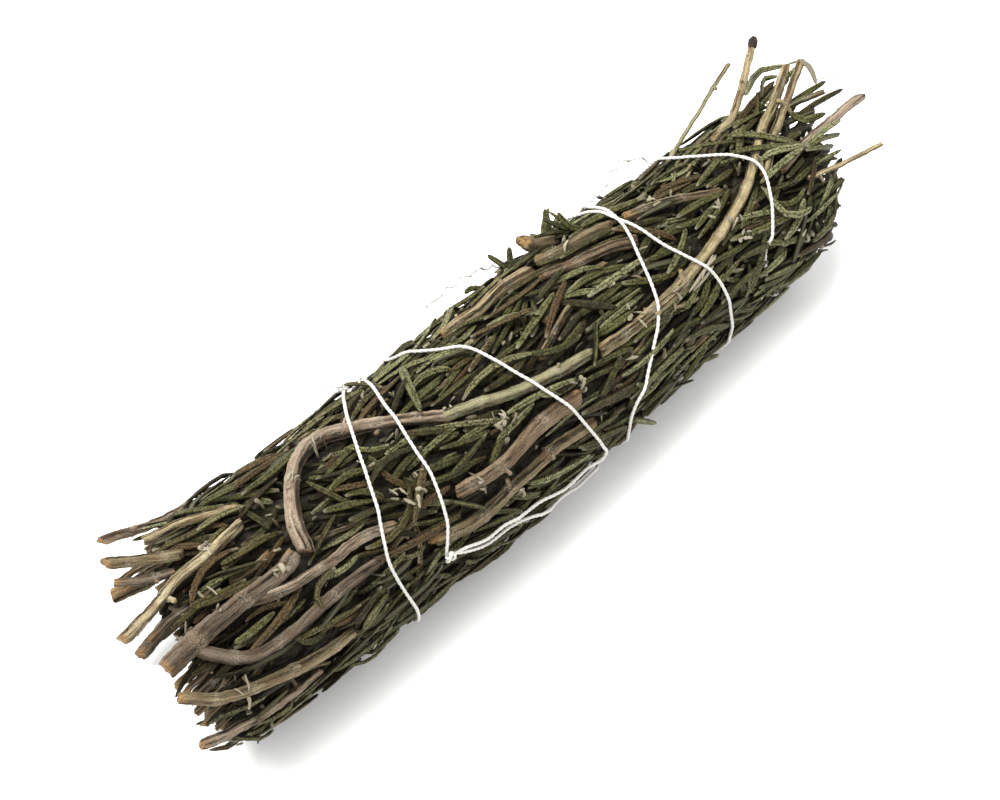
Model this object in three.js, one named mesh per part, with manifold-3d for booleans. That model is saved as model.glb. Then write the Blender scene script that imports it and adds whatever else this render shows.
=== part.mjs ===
// A rosemary smudge stick: dried leafy sprigs and bare woody stems, bound into a bundle with cotton thread.
// Millimetres, +Z up. The bundle lies along X on the plane z = 0, cut stem ends towards -X.
// A place on the bundle is [x, angle, lift]: the angle runs round the axis in degrees, 0 facing -Y and 90 up,
// and the lift is measured outwards from the skin, the surface that the leaves reach.
import * as THREE from "three";
import { mergeVertices } from "three/addons/utils/BufferGeometryUtils.js";
import Module from "manifold-3d";

const wasm = await Module();
wasm.setup();

// Driving dimensions
const BODY_LENGTH = 180;
const HALF = BODY_LENGTH / 2;
const SKIN_RADIUS = [
  [-HALF, 22.2],
  [-55, 21.2],
  [-20, 20.8],
  [15, 20.4],
  [50, 18.8],
  [75, 18.2],
  [HALF, 16.6],
];
// Along its middle the bundle is fuller low down at the front and flatter opposite: by how much at [x, more].
const FULLER = [
  [-HALF, 0],
  [-50, 1.4],
  [-20, 1.9],
  [0, 1.4],
  [30, 0],
  [HALF, 0],
];
const FULLER_TOWARDS = -28;
// The sprigs aren't cut off square: where the leaves end at both ends of the bundle is a mean place,
// how far it swings to either side round the bundle, and the angle that reaches furthest.
const NEAR_END = { mean: -85, swing: 9.5, towards: 25 };
const FAR_END = { mean: 81, swing: 6.5, towards: 110 };
const PRESSED = 1; // how far the underside is pressed flat by its weight
const CLEARANCE = 0.35; // between pieces that touch
const SMALLEST_EDGE = 1e-3; // corners nearer than this become one
const LEAF_LOWEST = 0.5; // the leaves underneath stay this high, so the bundle rests on its low points alone

const MEAN_RADIUS = 20.5; // for the unrolled skin that the thread is laid out on

const SPRIGS = 10;
const LEAF_DEPTH = 2.7; // the leaves stand this far out of the mass of each sprig
const HEART_RADIUS = 6; // inside it only woody stems run
const MASS_LEVELS = 9; // steps along the mass of a sprig
// The lowest sprig is flat underneath from one level to another. Three low points of it, each a side and a level
// of its mass, carry the bundle, and the rest of the flat is this much higher.
const FLAT_LEVELS = [3, 6];
const LOW_POINTS = [
  [1, 3],
  [3, 3],
  [2, 6],
];
const FLAT_HEIGHT = 0.15;
// Both ends of a sprig's mass are narrower, and further from the skin and from the heart.
const MASS_END = { width: 0.45, fromSkin: 4.5, fromHeart: 2.5 };
const SPRIG_STEM_RADII = [1, 1.35]; // in the leaves and at the cut end
const SPRIG_STEM_RADIUS = 12.5; // from the bundle's axis to the sprig's own stem
const SPRIG_STEM_SHARE = 0.6; // of the way out to the skin
const SPRIG_STEM_REACH = [-15, -5, -1]; // past the bundle's end, and its cut end up to 3 more
const SPRIG_GAP = 0.55; // between the masses of neighbouring sprigs
const TWIST = 20; // turn of the sprigs over the body's length, degrees
const LEAF_LENGTH = 17;
const LEAF_HALF_WIDTH = 1;
const LEAF_HEIGHT = 0.9;
const LEAF_SPACING = 8.4; // from one whorl of leaves to the next
const LEAF_LANES = 6; // every whorl takes every other lane
const LEAF_FAN = 9; // how far the outer lanes point away from the sprig's own line, degrees

const THREAD_RADIUS = 0.5;
const THREAD_LOWEST = 0.65; // height of the thread's middle where it passes under the bundle
const THREAD_STEP = 5.4;

const LEAF_GREEN = 0x5b6238;
const STEM_BROWN = 0x85705a;
const STEM_GREY = 0x8b8074;
const STEM_PALE = 0xa79873;
const THREAD_WHITE = 0xebe9e2;

const radians = THREE.MathUtils.degToRad;

// A repeatable stream of numbers from 0 to 1.
function stream(seed) {
  let state = seed;
  return () => {
    state = (state + 0x6d2b79f5) | 0;
    let t = Math.imul(state ^ (state >>> 15), 1 | state);
    t = (t + Math.imul(t ^ (t >>> 7), 61 | t)) ^ t;
    return ((t ^ (t >>> 14)) >>> 0) / 4294967296;
  };
}

// The bundle's surface

function between(stations, x) {
  const next = stations.findIndex(([station]) => station >= x);
  if (next === 0) return stations[0][1];
  if (next < 0) return stations.at(-1)[1];
  const [x0, y0] = stations[next - 1];
  const [x1, y1] = stations[next];
  return y0 + ((y1 - y0) * (x - x0)) / (x1 - x0);
}

const radiusAt = (x) => between(SKIN_RADIUS, x);
const axisHeight = (x) => radiusAt(x) - PRESSED;

function skinAt(x, angle) {
  const radius = radiusAt(x) + between(FULLER, x) * Math.cos(radians(angle - FULLER_TOWARDS));
  const down = -Math.sin(radians(angle));
  return down > 0 ? Math.min(radius, axisHeight(x) / down) : radius;
}

function atRadius(x, angle, radius) {
  const a = radians(angle);
  return new THREE.Vector3(x, -radius * Math.cos(a), axisHeight(x) + radius * Math.sin(a));
}

const onSkin = (x, angle, lift = 0) => atRadius(x, angle, skinAt(x, angle) + lift);

const outwardAt = (angle) =>
  new THREE.Vector3(0, -Math.cos(radians(angle)), Math.sin(radians(angle)));

// The two ends, at the skin or at a share of the way out to it.
const nearEnd = (angle, share = 1) =>
  NEAR_END.mean - NEAR_END.swing * share * Math.cos(radians(angle - NEAR_END.towards));
const farEnd = (angle, share = 1) =>
  FAR_END.mean + FAR_END.swing * share * Math.cos(radians(angle - FAR_END.towards));

// Solids

function solid(geometry, weld = 1e-4) {
  const bare = geometry.clone();
  bare.deleteAttribute("normal");
  bare.deleteAttribute("uv");
  const merged = mergeVertices(bare, weld);
  return new wasm.Manifold(
    new wasm.Mesh({
      numProp: 3,
      vertProperties: merged.attributes.position.array,
      triVerts: new Uint32Array(merged.index.array),
    }),
  );
}

function geometryOf(made) {
  const mesh = made.getMesh();
  const geometry = new THREE.BufferGeometry();
  geometry.setAttribute("position", new THREE.BufferAttribute(mesh.vertProperties, 3));
  geometry.setIndex(new THREE.BufferAttribute(mesh.triVerts, 1));
  geometry.computeVertexNormals();
  return geometry;
}

// The main body of a solid, without slivers or any loose scrap that a cut left.
function mainBody(made) {
  const welded = solid(geometryOf(made), SMALLEST_EDGE);
  return welded.decompose().reduce((a, b) => (a.volume() > b.volume() ? a : b));
}

// Moves the corners of a many-sided cylinder or cone to places given by corner(side, level).
// A cap's middle goes to the mean of its corners.
function loft(geometry, sides, levels, corner) {
  const position = geometry.attributes.position;
  for (let i = 0; i < position.count; i++) {
    const level = Math.round((position.getY(i) + 0.5) * levels);
    const middle = Math.hypot(position.getX(i), position.getZ(i)) < 1e-6;
    const turn = Math.atan2(position.getX(i), position.getZ(i)) / (2 * Math.PI);
    const side = Math.round((turn + 1) * sides) % sides;
    const place = new THREE.Vector3();
    if (middle) {
      for (let s = 0; s < sides; s++) place.addScaledVector(corner(s, level), 1 / sides);
    } else {
      place.copy(corner(side, level));
    }
    position.setXYZ(i, place.x, place.y, place.z);
  }
  return solid(geometry);
}

// A bar along a smooth curve; radius(share) is its radius at a share of its length.
function bar(points, radius, sides, steps) {
  const curve = new THREE.CatmullRomCurve3(points, false, "centripetal");
  const frames = curve.computeFrenetFrames(steps, false);
  const corner = (side, level) => {
    const turn = (2 * Math.PI * side) / sides;
    const size = radius(level / steps);
    return curve
      .getPointAt(level / steps)
      .addScaledVector(frames.normals[level], size * Math.sin(turn))
      .addScaledVector(frames.binormals[level], -size * Math.cos(turn));
  };
  return loft(new THREE.CylinderGeometry(1, 1, 1, sides, steps), sides, steps, corner);
}

function smoothPoints(points, spacing) {
  const curve = new THREE.CatmullRomCurve3(points, false, "centripetal");
  return curve.getSpacedPoints(Math.max(2, Math.ceil(curve.getLength() / spacing)));
}

// Bare woody stems

// Each has its route, its radius at both ends and its colour.
// Stems with the same name are branches of one stem.
const STEMS = [
  {
    name: "hooked_stem",
    radii: [1.45, 1.1],
    colour: STEM_GREY,
    route: [
      [-63, 61, -0.6],
      [-61, 76, -0.5],
      [-56, 93, -0.4],
      [-49.5, 107, -0.4],
      [-43.5, 109, -0.4],
      [-35.5, 93.5, -0.5],
      [-24, 72, -0.6],
      [-9, 59, -0.6],
      [7.8, 50.6, -0.7],
    ],
  },
  {
    name: "long_stem",
    radii: [1.25, 0.95],
    colour: STEM_BROWN,
    route: [
      [10, 48, -0.6],
      [25, 47, -0.5],
      [37, 52, -0.4],
      [51, 62, -0.4],
      [60, 72, -0.3],
      [68, 87, -0.1],
      [75, 99, 0.2],
      [83, 110, 1.8],
      [91, 120, 5.2],
    ],
  },
  {
    name: "long_stem_twin",
    radii: [1, 0.8],
    colour: STEM_BROWN,
    route: [
      [66, 72, -0.6],
      [73, 86, -0.3],
      [80, 98, 0.6],
      [87, 107, 3],
      [93.5, 114, 5.6],
    ],
  },
  {
    name: "forked_stem",
    radii: [1.9, 1.45],
    colour: STEM_GREY,
    route: [
      [-97, 57, -1.6],
      [-89, 59, -0.9],
      [-77, 60, -0.8],
      [-68, 61, -0.8],
      [-65, 64, -1],
    ],
  },
  {
    name: "forked_stem",
    radii: [1.1, 0.9],
    colour: STEM_GREY,
    route: [
      [-78, 60, -0.8],
      [-73, 55, -0.5],
      [-63, 50, -0.6],
      [-53, 49, -0.6],
      [-46, 44, -0.8],
    ],
  },
  {
    name: "forked_stem",
    radii: [1.2, 1],
    colour: STEM_GREY,
    route: [
      [-91, 58, -1],
      [-89, 50, -0.7],
      [-83, 37, -0.6],
      [-73, 34, -0.6],
      [-62, 36, -0.6],
      [-53, 34, -0.8],
    ],
  },
  {
    name: "broken_stem",
    radii: [1.2, 1.5],
    colour: STEM_BROWN,
    route: [
      [-32, 37, -0.6],
      [-21, 33, -0.5],
      [-11, 37, -0.6],
      [1, 36, -0.6],
    ],
  },
  {
    name: "side_stem",
    radii: [1.25, 1],
    colour: STEM_BROWN,
    route: [
      [-40.5, 23.5, -0.7],
      [-31.5, 17.5, -0.5],
      [-22.5, 19, -0.5],
      [-9.5, 20.5, -0.6],
      [1.5, 16.5, -0.8],
    ],
  },
  {
    name: "short_twig",
    radii: [0.8, 0.6],
    colour: STEM_BROWN,
    route: [
      [-1, 65, -1],
      [7, 74, -0.7],
      [12, 79, -1],
    ],
  },
  {
    name: "crest_stem_1",
    radii: [1.05, 1.15],
    colour: STEM_PALE,
    route: [
      [-9, 126, -0.9],
      [-1.5, 119, -0.5],
      [6.5, 122, -0.4],
      [13.5, 119.5, -0.9],
    ],
  },
  {
    name: "crest_stem_2",
    radii: [1.2, 1.2],
    colour: STEM_BROWN,
    route: [
      [16.5, 122.5, -0.8],
      [21, 114, -0.4],
      [27, 112, -0.4],
      [33, 107, -0.7],
    ],
  },
  {
    name: "crest_stem_3",
    radii: [1, 1.35],
    colour: STEM_BROWN,
    route: [
      [13, 106.5, -0.9],
      [20, 99, -0.6],
      [27, 93, -0.5],
      [33, 86, -0.6],
    ],
  },
  {
    name: "crest_stem_4",
    radii: [1, 0.7],
    colour: STEM_BROWN,
    route: [
      [36.5, 107, -0.8],
      [44, 97, -0.6],
      [52, 86, -0.8],
      [56, 81, -1],
    ],
  },
  {
    name: "crest_stub",
    radii: [1.4, 1.5],
    colour: STEM_BROWN,
    route: [
      [24.5, 135.5, -1],
      [21, 138, 0.6],
      [18.5, 135.5, 2.8],
    ],
  },
  {
    name: "near_stem_1",
    radii: [0.9, 0.8],
    colour: STEM_GREY,
    route: [
      [-87, 139, 2.7],
      [-82, 141, 1.2],
      [-75.5, 147, -0.3],
      [-67.5, 148, -1],
    ],
  },
  {
    name: "near_stem_2",
    radii: [1, 0.8],
    colour: STEM_PALE,
    route: [
      [-82, 126, -0.3],
      [-74, 118, -0.5],
      [-66, 105.5, -0.9],
    ],
  },
  {
    name: "near_stem_3",
    radii: [1.15, 1],
    colour: STEM_BROWN,
    route: [
      [-92, 115, 2.6],
      [-87, 109, 0.6],
      [-80, 101, -1.2],
    ],
  },
  {
    name: "near_stem_4",
    radii: [0.8, 0.8],
    colour: STEM_BROWN,
    route: [
      [-94, 103, 2.4],
      [-89, 98, 0.2],
      [-84, 95, -1],
    ],
  },
  {
    name: "near_stem_5",
    radii: [1.15, 1],
    colour: STEM_PALE,
    route: [
      [-100, 81, 0],
      [-94, 82, -0.2],
      [-85, 88, -0.5],
      [-74, 91, -0.6],
      [-68, 95, -1],
    ],
  },
  {
    name: "near_stem_6",
    radii: [1.05, 0.95],
    colour: STEM_PALE,
    route: [
      [-98.5, 44, 0],
      [-92, 31, -0.3],
      [-82, 21, -0.5],
      [-70, 12, -0.6],
      [-62.5, 9.5, -0.9],
    ],
  },
  {
    name: "near_stem_7",
    radii: [1.05, 0.8],
    colour: STEM_GREY,
    route: [
      [-99, 16, -0.2],
      [-93, 9, -0.3],
      [-82, 1, -0.6],
      [-71.5, 0.5, -0.8],
    ],
  },
  {
    name: "far_stem_1",
    radii: [0.9, 1.05],
    colour: STEM_BROWN,
    route: [
      [70, 66, -1],
      [77, 71, -0.3],
      [88, 75, 0],
      [98, 76, -0.2],
    ],
  },
  {
    name: "far_stem_2",
    radii: [0.55, 0.45],
    colour: STEM_PALE,
    route: [
      [74, 52, -1],
      [80, 48, -0.2],
      [87, 44, 0.2],
      [95, 40, 0.4],
    ],
  },
  {
    name: "far_stem_3",
    radii: [0.75, 0.75],
    colour: STEM_PALE,
    route: [
      [67, 124, -1.2],
      [75, 129, -0.2],
      [80.5, 130, 4],
      [88, 130, 11.2],
    ],
  },
  {
    name: "far_stem_4",
    radii: [0.5, 0.45],
    colour: STEM_PALE,
    route: [
      [58, 141, -1.2],
      [66, 143, 1.6],
      [76, 143, 5.3],
      [85, 143, 9.4],
    ],
  },
  {
    name: "back_stem_1",
    radii: [1.4, 1],
    colour: STEM_BROWN,
    route: [
      [-86, 196, -0.4],
      [-74, 202, -0.6],
      [-50, 206, -0.6],
      [-28, 198, -0.9],
    ],
  },
  {
    name: "back_stem_2",
    radii: [1.2, 0.9],
    colour: STEM_GREY,
    route: [
      [-87, 232, -0.6],
      [-76, 226, -0.5],
      [-58, 232, -0.6],
      [-42, 228, -0.9],
    ],
  },
  {
    name: "back_stem_3",
    radii: [1, 1.3],
    colour: STEM_BROWN,
    route: [
      [2, 186, -0.9],
      [26, 194, -0.6],
      [52, 190, -0.6],
      [72, 178, -0.5],
      [92, 172, 0.6],
    ],
  },
  {
    name: "back_stem_4",
    radii: [1.3, 0.9],
    colour: STEM_GREY,
    route: [
      [-18, 226, -0.8],
      [8, 220, -0.6],
      [34, 226, -0.6],
      [62, 219, -0.6],
      [84, 226, -0.9],
    ],
  },
  {
    name: "back_stem_5",
    radii: [1.1, 0.8],
    colour: STEM_PALE,
    route: [
      [-72, 168, -0.9],
      [-54, 174, -0.6],
      [-30, 168, -0.5],
      [-12, 173, -0.9],
    ],
  },
];

// The woody stems in the heart of the bundle, one in the middle and six round it.
const HEART_STEMS = 7;
const HEART_STEM_RADII = [1.55, 0.9];
const HEART_RING = 3.9;
const HEART_STEM_ENDS = [-HALF + 8, HALF - 13]; // mean places, each up to ENDS_VARY further or nearer
const ENDS_VARY = 3;

// Where the stems pass, for what has to keep clear of them.
const stemTrack = STEMS.flatMap(({ route, radii }) => {
  const places = smoothPoints(
    route.map(([x, angle, lift]) => onSkin(x, angle, lift)),
    1.5,
  );
  return places.map((place, i) => {
    const share = i / (places.length - 1);
    return { place, radius: radii[0] + (radii[1] - radii[0]) * share };
  });
});

function stemSolid({ route, radii }) {
  const points = route.map(([x, angle, lift]) => onSkin(x, angle, lift));
  const steps = Math.ceil(1.6 * (route.length - 1));
  return bar(points, (share) => radii[0] + (radii[1] - radii[0]) * share, 5, steps);
}

function heartStem(index) {
  const random = stream(700 + index);
  const [start, end] = HEART_STEM_ENDS.map((place) => place + ENDS_VARY * (2 * random() - 1));
  const ring = index === 0 ? 0 : HEART_RING;
  const angle = (360 / (HEART_STEMS - 1)) * index + TWIST;
  const points = [0, 1 / 3, 2 / 3, 1].map((share) =>
    atRadius(start + (end - start) * share, angle + TWIST * share, ring),
  );
  const [thick, thin] = HEART_STEM_RADII;
  return bar(points, (share) => thick + (thin - thick) * share, 5, 5);
}

// Leafy sprigs

// The angle where one sprig ends and the next begins.
function borderAt(index, x) {
  const first = -90 - 180 / SPRIGS;
  const wave = 2.5 * Math.sin(x / 19 + 2.1 * (index % SPRIGS));
  return first + (360 / SPRIGS) * index + (TWIST * x) / BODY_LENGTH + wave;
}

// The side of the bundle's end where a sprig has its cut stem, and the direction that the sprig lies in.
const stemSide = (index) => (index % 3 === 1 ? 1 : -1);
const directionOf = (index) => (360 / SPRIGS) * index - 90;
const middleOf = (index, x) => (borderAt(index, x) + borderAt(index + 1, x)) / 2;

// The mass of one sprig, narrowed at both ends. The bundle rests on the one underneath.
function sprigMass(index) {
  const random = stream(40 + index);
  const start = nearEnd(directionOf(index)) + 2 + 4 * random();
  const end = farEnd(directionOf(index)) - 2 - 4 * random();
  const levels = MASS_LEVELS;
  const underneath = index === 0;
  const [firstFlat, lastFlat] = FLAT_LEVELS;
  const corner = (side, level) => {
    const x = start + ((end - start) * level) / levels;
    const atEnd = level === 0 || level === levels;
    const spread = atEnd ? MASS_END.width : 1;
    const across = 0.5 + spread * [0.5, 0.5, 0, -0.5, -0.5][side];
    const inner = side === 0 || side === 4;
    const resting = underneath && level >= firstFlat && level <= lastFlat;
    const depth = resting ? 0 : LEAF_DEPTH + (atEnd ? MASS_END.fromSkin : 0);
    const low = borderAt(index, x);
    const high = borderAt(index + 1, x);
    const angle = low + (high - low) * across;
    const radius = inner ? HEART_RADIUS + (atEnd ? MASS_END.fromHeart : 0) : skinAt(x, angle) - depth;
    const inset = (SPRIG_GAP / 2 / radius) * (180 / Math.PI) * (1 - 2 * across);
    const place = atRadius(x, angle + inset, radius);
    const lowest = LOW_POINTS.some(([s, l]) => s === side && l === level);
    return resting && !inner ? place.setZ(lowest ? 0 : FLAT_HEIGHT) : place;
  };
  return loft(new THREE.CylinderGeometry(1, 1, 1, 5, levels), 5, levels, corner);
}

// The woody end of a sprig's own stem, which stands out of its mass.
function sprigStem(index) {
  const random = stream(80 + index);
  const side = stemSide(index);
  const radius = SPRIG_STEM_RADIUS + 3 * (random() - 0.5);
  const edge = (side < 0 ? nearEnd : farEnd)(directionOf(index), SPRIG_STEM_SHARE);
  const [foot, middle, tip] = SPRIG_STEM_REACH;
  const points = [foot, middle, tip + 3 * random()].map((beyond) => {
    const x = edge + side * beyond;
    return atRadius(x, middleOf(index, x) + 6 * (random() - 0.5), radius);
  });
  const [thin, thick] = SPRIG_STEM_RADII;
  return bar(points, (share) => thin + (thick - thin) * share, 5, 3);
}

// Keeps a place inside its sprig's share of the bundle and above the ground.
function keptIn(index, place, margin) {
  const height = place.z - axisHeight(place.x);
  const radius = Math.hypot(place.y, height);
  const low = borderAt(index, place.x);
  let angle = THREE.MathUtils.radToDeg(Math.atan2(height, -place.y));
  while (angle < low - 90) angle += 360;
  const room = (margin / radius) * (180 / Math.PI);
  angle = THREE.MathUtils.clamp(angle, low + room, borderAt(index + 1, place.x) - room);
  const kept = atRadius(place.x, angle, radius);
  kept.z = Math.max(kept.z, LEAF_LOWEST);
  return kept;
}

// A three-sided leaf with its ridge outwards, widest at its belly and pointed at both ends.
function leaf(index, foot, belly, tip, outward) {
  const line = [foot, belly, tip];
  const along = new THREE.Vector3().subVectors(tip, foot).normalize();
  const across = new THREE.Vector3().crossVectors(along, outward).normalize();
  const corner = (side, level) => {
    const turn = (2 * Math.PI * side) / 3;
    const size = level === 1 ? 1 : 0;
    const place = line[level]
      .clone()
      .addScaledVector(across, LEAF_HALF_WIDTH * size * Math.sin(turn))
      .addScaledVector(outward, LEAF_HEIGHT * size * Math.cos(turn));
    return keptIn(index, place, CLEARANCE);
  };
  return loft(new THREE.SphereGeometry(0.5, 3, 2), 3, 2, corner);
}

function clearOfStems(places) {
  return places.every((at) =>
    stemTrack.every(({ place, radius }) => at.distanceTo(place) > radius + LEAF_HALF_WIDTH * 0.6),
  );
}

const insideEnds = (x, angle) => x > nearEnd(angle) - 1 && x < farEnd(angle) + 1;

// One leaf in a whorl, or nothing if every try at it meets a woody stem.
function whorlLeaf(index, row, lane, forward, random) {
  for (let attempt = 0; attempt < 6; attempt++) {
    const jitter = () => 2 * random() - 1;
    const x = forward * (-HALF + 2 + LEAF_SPACING * (row + 0.1 * lane) + 1.5 * jitter());
    const share = (lane + 0.5 + 0.15 * jitter()) / LEAF_LANES;
    const angle = borderAt(index, x) + (360 / SPRIGS) * share;
    const length = LEAF_LENGTH * (0.92 + 0.18 * jitter());
    const slant = radians(LEAF_FAN * (2 * share - 1) + 3 * jitter());
    const turn = ((length * Math.sin(slant)) / radiusAt(x)) * (180 / Math.PI);
    const reach = forward * length * Math.cos(slant);
    const foot = onSkin(x, angle, -LEAF_DEPTH - 0.6);
    const belly = onSkin(x + 0.45 * reach, angle + 0.45 * turn, -1.3);
    const tip = onSkin(x + reach, angle + turn, -0.35);
    const middle = belly.clone().lerp(tip, 0.5);
    if (insideEnds(x + reach, angle) && clearOfStems([belly, middle, tip])) {
      return leaf(index, foot, belly, tip, outwardAt(angle + 0.5 * turn));
    }
  }
  return null;
}

// Whorls of leaves along one sprig, which lie along the bundle and point to one of its ends.
function sprigLeaves(index) {
  const random = stream(300 + index);
  const forward = -stemSide(index);
  const leaves = [];
  for (let row = 0; row < (BODY_LENGTH - 4) / LEAF_SPACING; row++) {
    for (let lane = row % 2; lane < LEAF_LANES; lane += 2) {
      leaves.push(whorlLeaf(index, row, lane, forward, random));
    }
  }
  return leaves.filter(Boolean);
}

// Leaves that stand out of each end of a sprig: how deep under the skin, how far to one side in degrees,
// and how far from the end of the body their feet are.
const END_LEAVES = [
  [1.1, -12, 19],
  [1.1, 1, 16],
  [1.1, 13, 20],
  [5, -8, 13],
  [5.5, 8, 15],
  [9.5, 2, 13],
];

function endLeaves(index) {
  const random = stream(500 + index);
  return [-1, 1].flatMap((end) =>
    END_LEAVES.map(([depth, aside, back]) => {
      const edge = (end < 0 ? nearEnd : farEnd)(directionOf(index), 1 - depth / MEAN_RADIUS);
      const x = edge - end * back;
      const angle = middleOf(index, x) + aside + 3 * (random() - 0.5);
      const reach = end * (LEAF_LENGTH + 4 * random() - (end > 0 ? 0 : 1));
      const foot = onSkin(x, angle, -depth - 2.4);
      const belly = onSkin(x + 0.5 * reach, angle, -depth - 0.3);
      const tip = onSkin(x + reach, angle, -depth + 0.4);
      return leaf(index, foot, belly, tip, outwardAt(angle));
    }),
  );
}

// Loose leaves that stand well clear of the bundle: [foot, belly, tip], each [x, angle, lift].
const STRAY_LEAVES = [
  [
    [31, 128, -3.1],
    [27, 129, 0.5],
    [24, 131, 4.5],
  ],
  [
    [33, 133, -3.1],
    [29, 133, 0.4],
    [27, 135, 4.5],
  ],
  [
    [9, 0, -3.1],
    [13, -8.5, 0],
    [17.5, -18, 2.5],
  ],
  [
    [-70, 137, -3.1],
    [-76, 133, -0.8],
    [-81, 129, 1.4],
  ],
  [
    [74, 112, -3.1],
    [79, 116, 0],
    [82, 122, 3],
  ],
];

function strayLeaves(index) {
  return STRAY_LEAVES.filter(([[x, angle]]) => {
    const turns = [angle, angle + 360].map((a) => a - borderAt(index, x));
    return turns.some((turn) => turn > 2 && turn < 360 / SPRIGS - 2);
  }).map(([foot, belly, tip]) => {
    const line = [foot, belly, tip].map((place) => onSkin(...place));
    return leaf(index, ...line, outwardAt(belly[1]));
  });
}

// Cotton thread

// One thread, wound round the bundle from the first knot: [x, angle, slack]. Angles count on past a full turn,
// and the slack, if any, is how far it hangs off the bundle there.
const FIRST_LOOP = [
  [-30, 143],
  [-39.5, 99],
  [-46, 65],
  [-51, 33],
  [-50.5, 12],
  [-48, -12],
  [-42, -70],
  [-38, -110],
  [-34, -160],
  [-31, -210],
  [-30, -223],
];
const SECOND_PASS = [
  [-28.5, 143],
  [-28, 125.5],
  [-31.5, 94.5],
  [-34, 68],
  [-35, 51],
  [-37, 32],
  [-39.5, 13],
  [-35, 10, 0.6],
  [-30, 5, 0.6],
  [-25, 5, 0.6],
  [-19.5, 1, 0.6],
  [-14, -2, 0.6],
  [-9, -6, 0.6],
  [-3, -6, 0.6],
  [1.3, -7, 0.6],
  [2.4, -4, 0.5],
  [1.3, 3, 0.4],
  [-0.5, 17],
  [-3, 36],
  [-6, 54],
  [-9, 75],
  [-10.5, 93.5],
  [-14.5, 112.5],
  [-19, 139],
  [-17, 160],
  [-10, 190],
  [0, 230],
  [8, 270],
  [11, 315],
  [10.5, 361.5],
  [20, 390],
  [26, 410],
  [30, 438],
  [34, 465],
  [36, 500],
  [42, 540],
  [49, 590],
  [53, 630],
  [55, 690],
  [56, 745],
  [61, 772],
  [65, 794],
  [62, 819],
  [58, 840],
  [57, 868],
  [53, 905],
  [47, 950],
  [44, 990],
  [43, 1045],
  [42, 1092],
  [41, 1122],
  [36, 1152],
  [34, 1183],
  [33, 1210],
  [26, 1260],
  [16, 1305],
  [9, 1350],
  [5.5, 1402],
  [1.5, 1416, 0.6],
  [-5, 1420, 0.6],
  [-11.5, 1426, 0.6],
  [-17.5, 1434, 0.6],
  [-24, 1440.5, 0.6],
  [-30.5, 1442, 0.6],
  [-35.5, 1448, 0.6],
  [-39.5, 1453],
];
// Loose ends that arc clear of the bundle: [x, angle, lift].
const LOOSE_ENDS = [
  [
    [22, 178, 1],
    [16, 162, 1.6],
    [10, 152, 3],
    [2, 151, 4],
    [-4, 152, 3.6],
  ],
  [
    [57, 150, 1],
    [54, 151, 3.6],
    [49, 150, 4.2],
    [45, 148, 2.2],
    [38, 140, 1],
  ],
];
const KNOTS = [
  [-30, 141, 1.3],
  [-28, 129, 1.2],
  [-39.5, 13, 1.1],
];

// How far the thread's middle stands off the skin, lifted where it crosses a stem.
function threadLift(x, angle) {
  const base = CLEARANCE + THREAD_RADIUS;
  const over = stemTrack.map(({ place, radius }) => {
    const at = onSkin(x, angle, base);
    const away = at.distanceTo(place) - radius;
    const fade = THREE.MathUtils.clamp(1 - (away - 2) / 4, 0, 1);
    const height = place.z - axisHeight(place.x);
    const proud = Math.hypot(place.y, height) + radius - skinAt(place.x, angle);
    return fade * Math.max(0, proud + 0.15);
  });
  return base + Math.max(...over);
}

// Smooth points along a wound stretch, pulled in where the bundle rests on it.
function threadPoints(route) {
  const flat = new THREE.CatmullRomCurve3(
    route.map(([x, angle, slack = 0]) => new THREE.Vector3(x, radians(angle) * MEAN_RADIUS, slack)),
    false,
    "centripetal",
  );
  const count = Math.ceil(flat.getLength() / THREAD_STEP);
  return flat.getSpacedPoints(count).map((at) => {
    const angle = THREE.MathUtils.radToDeg(at.y / MEAN_RADIUS);
    const place = onSkin(at.x, angle, threadLift(at.x, angle) + at.z);
    place.z = Math.max(place.z, THREAD_LOWEST);
    return place;
  });
}

function wound(route, radius) {
  const points = threadPoints(route);
  return bar(points, () => radius, 5, points.length - 1);
}

function threadSolid(radius) {
  const loose = LOOSE_ENDS.map((route) =>
    bar(
      route.map((place) => onSkin(...place)),
      () => radius * 0.8,
      4,
      8,
    ),
  );
  const knots = KNOTS.map(([x, angle, size]) => {
    const knot = new THREE.IcosahedronGeometry(size, 0);
    const place = onSkin(x, angle, CLEARANCE + size);
    return solid(knot.translate(place.x, place.y, place.z));
  });
  return wasm.Manifold.union([wound(FIRST_LOOP, radius), wound(SECOND_PASS, radius), ...loose, ...knots]);
}

// The assembly

const stick = new THREE.Group();

function add(name, made, colour, roughness = 0.85) {
  const material = new THREE.MeshStandardMaterial({ color: colour, roughness, metalness: 0 });
  const mesh = new THREE.Mesh(geometryOf(mainBody(made)), material);
  mesh.name = name;
  stick.add(mesh);
}

const stemNames = [...new Set(STEMS.map(({ name }) => name))];
const stemSolids = stemNames.map((name) =>
  wasm.Manifold.union(STEMS.filter((stem) => stem.name === name).map(stemSolid)),
);
const stemRoom = STEMS.map(({ route, radii }) =>
  stemSolid({ route, radii: radii.map((radius) => radius + CLEARANCE) }),
);
const threadRoom = [FIRST_LOOP, SECOND_PASS].map((route) => wound(route, THREAD_RADIUS + CLEARANCE));

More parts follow.
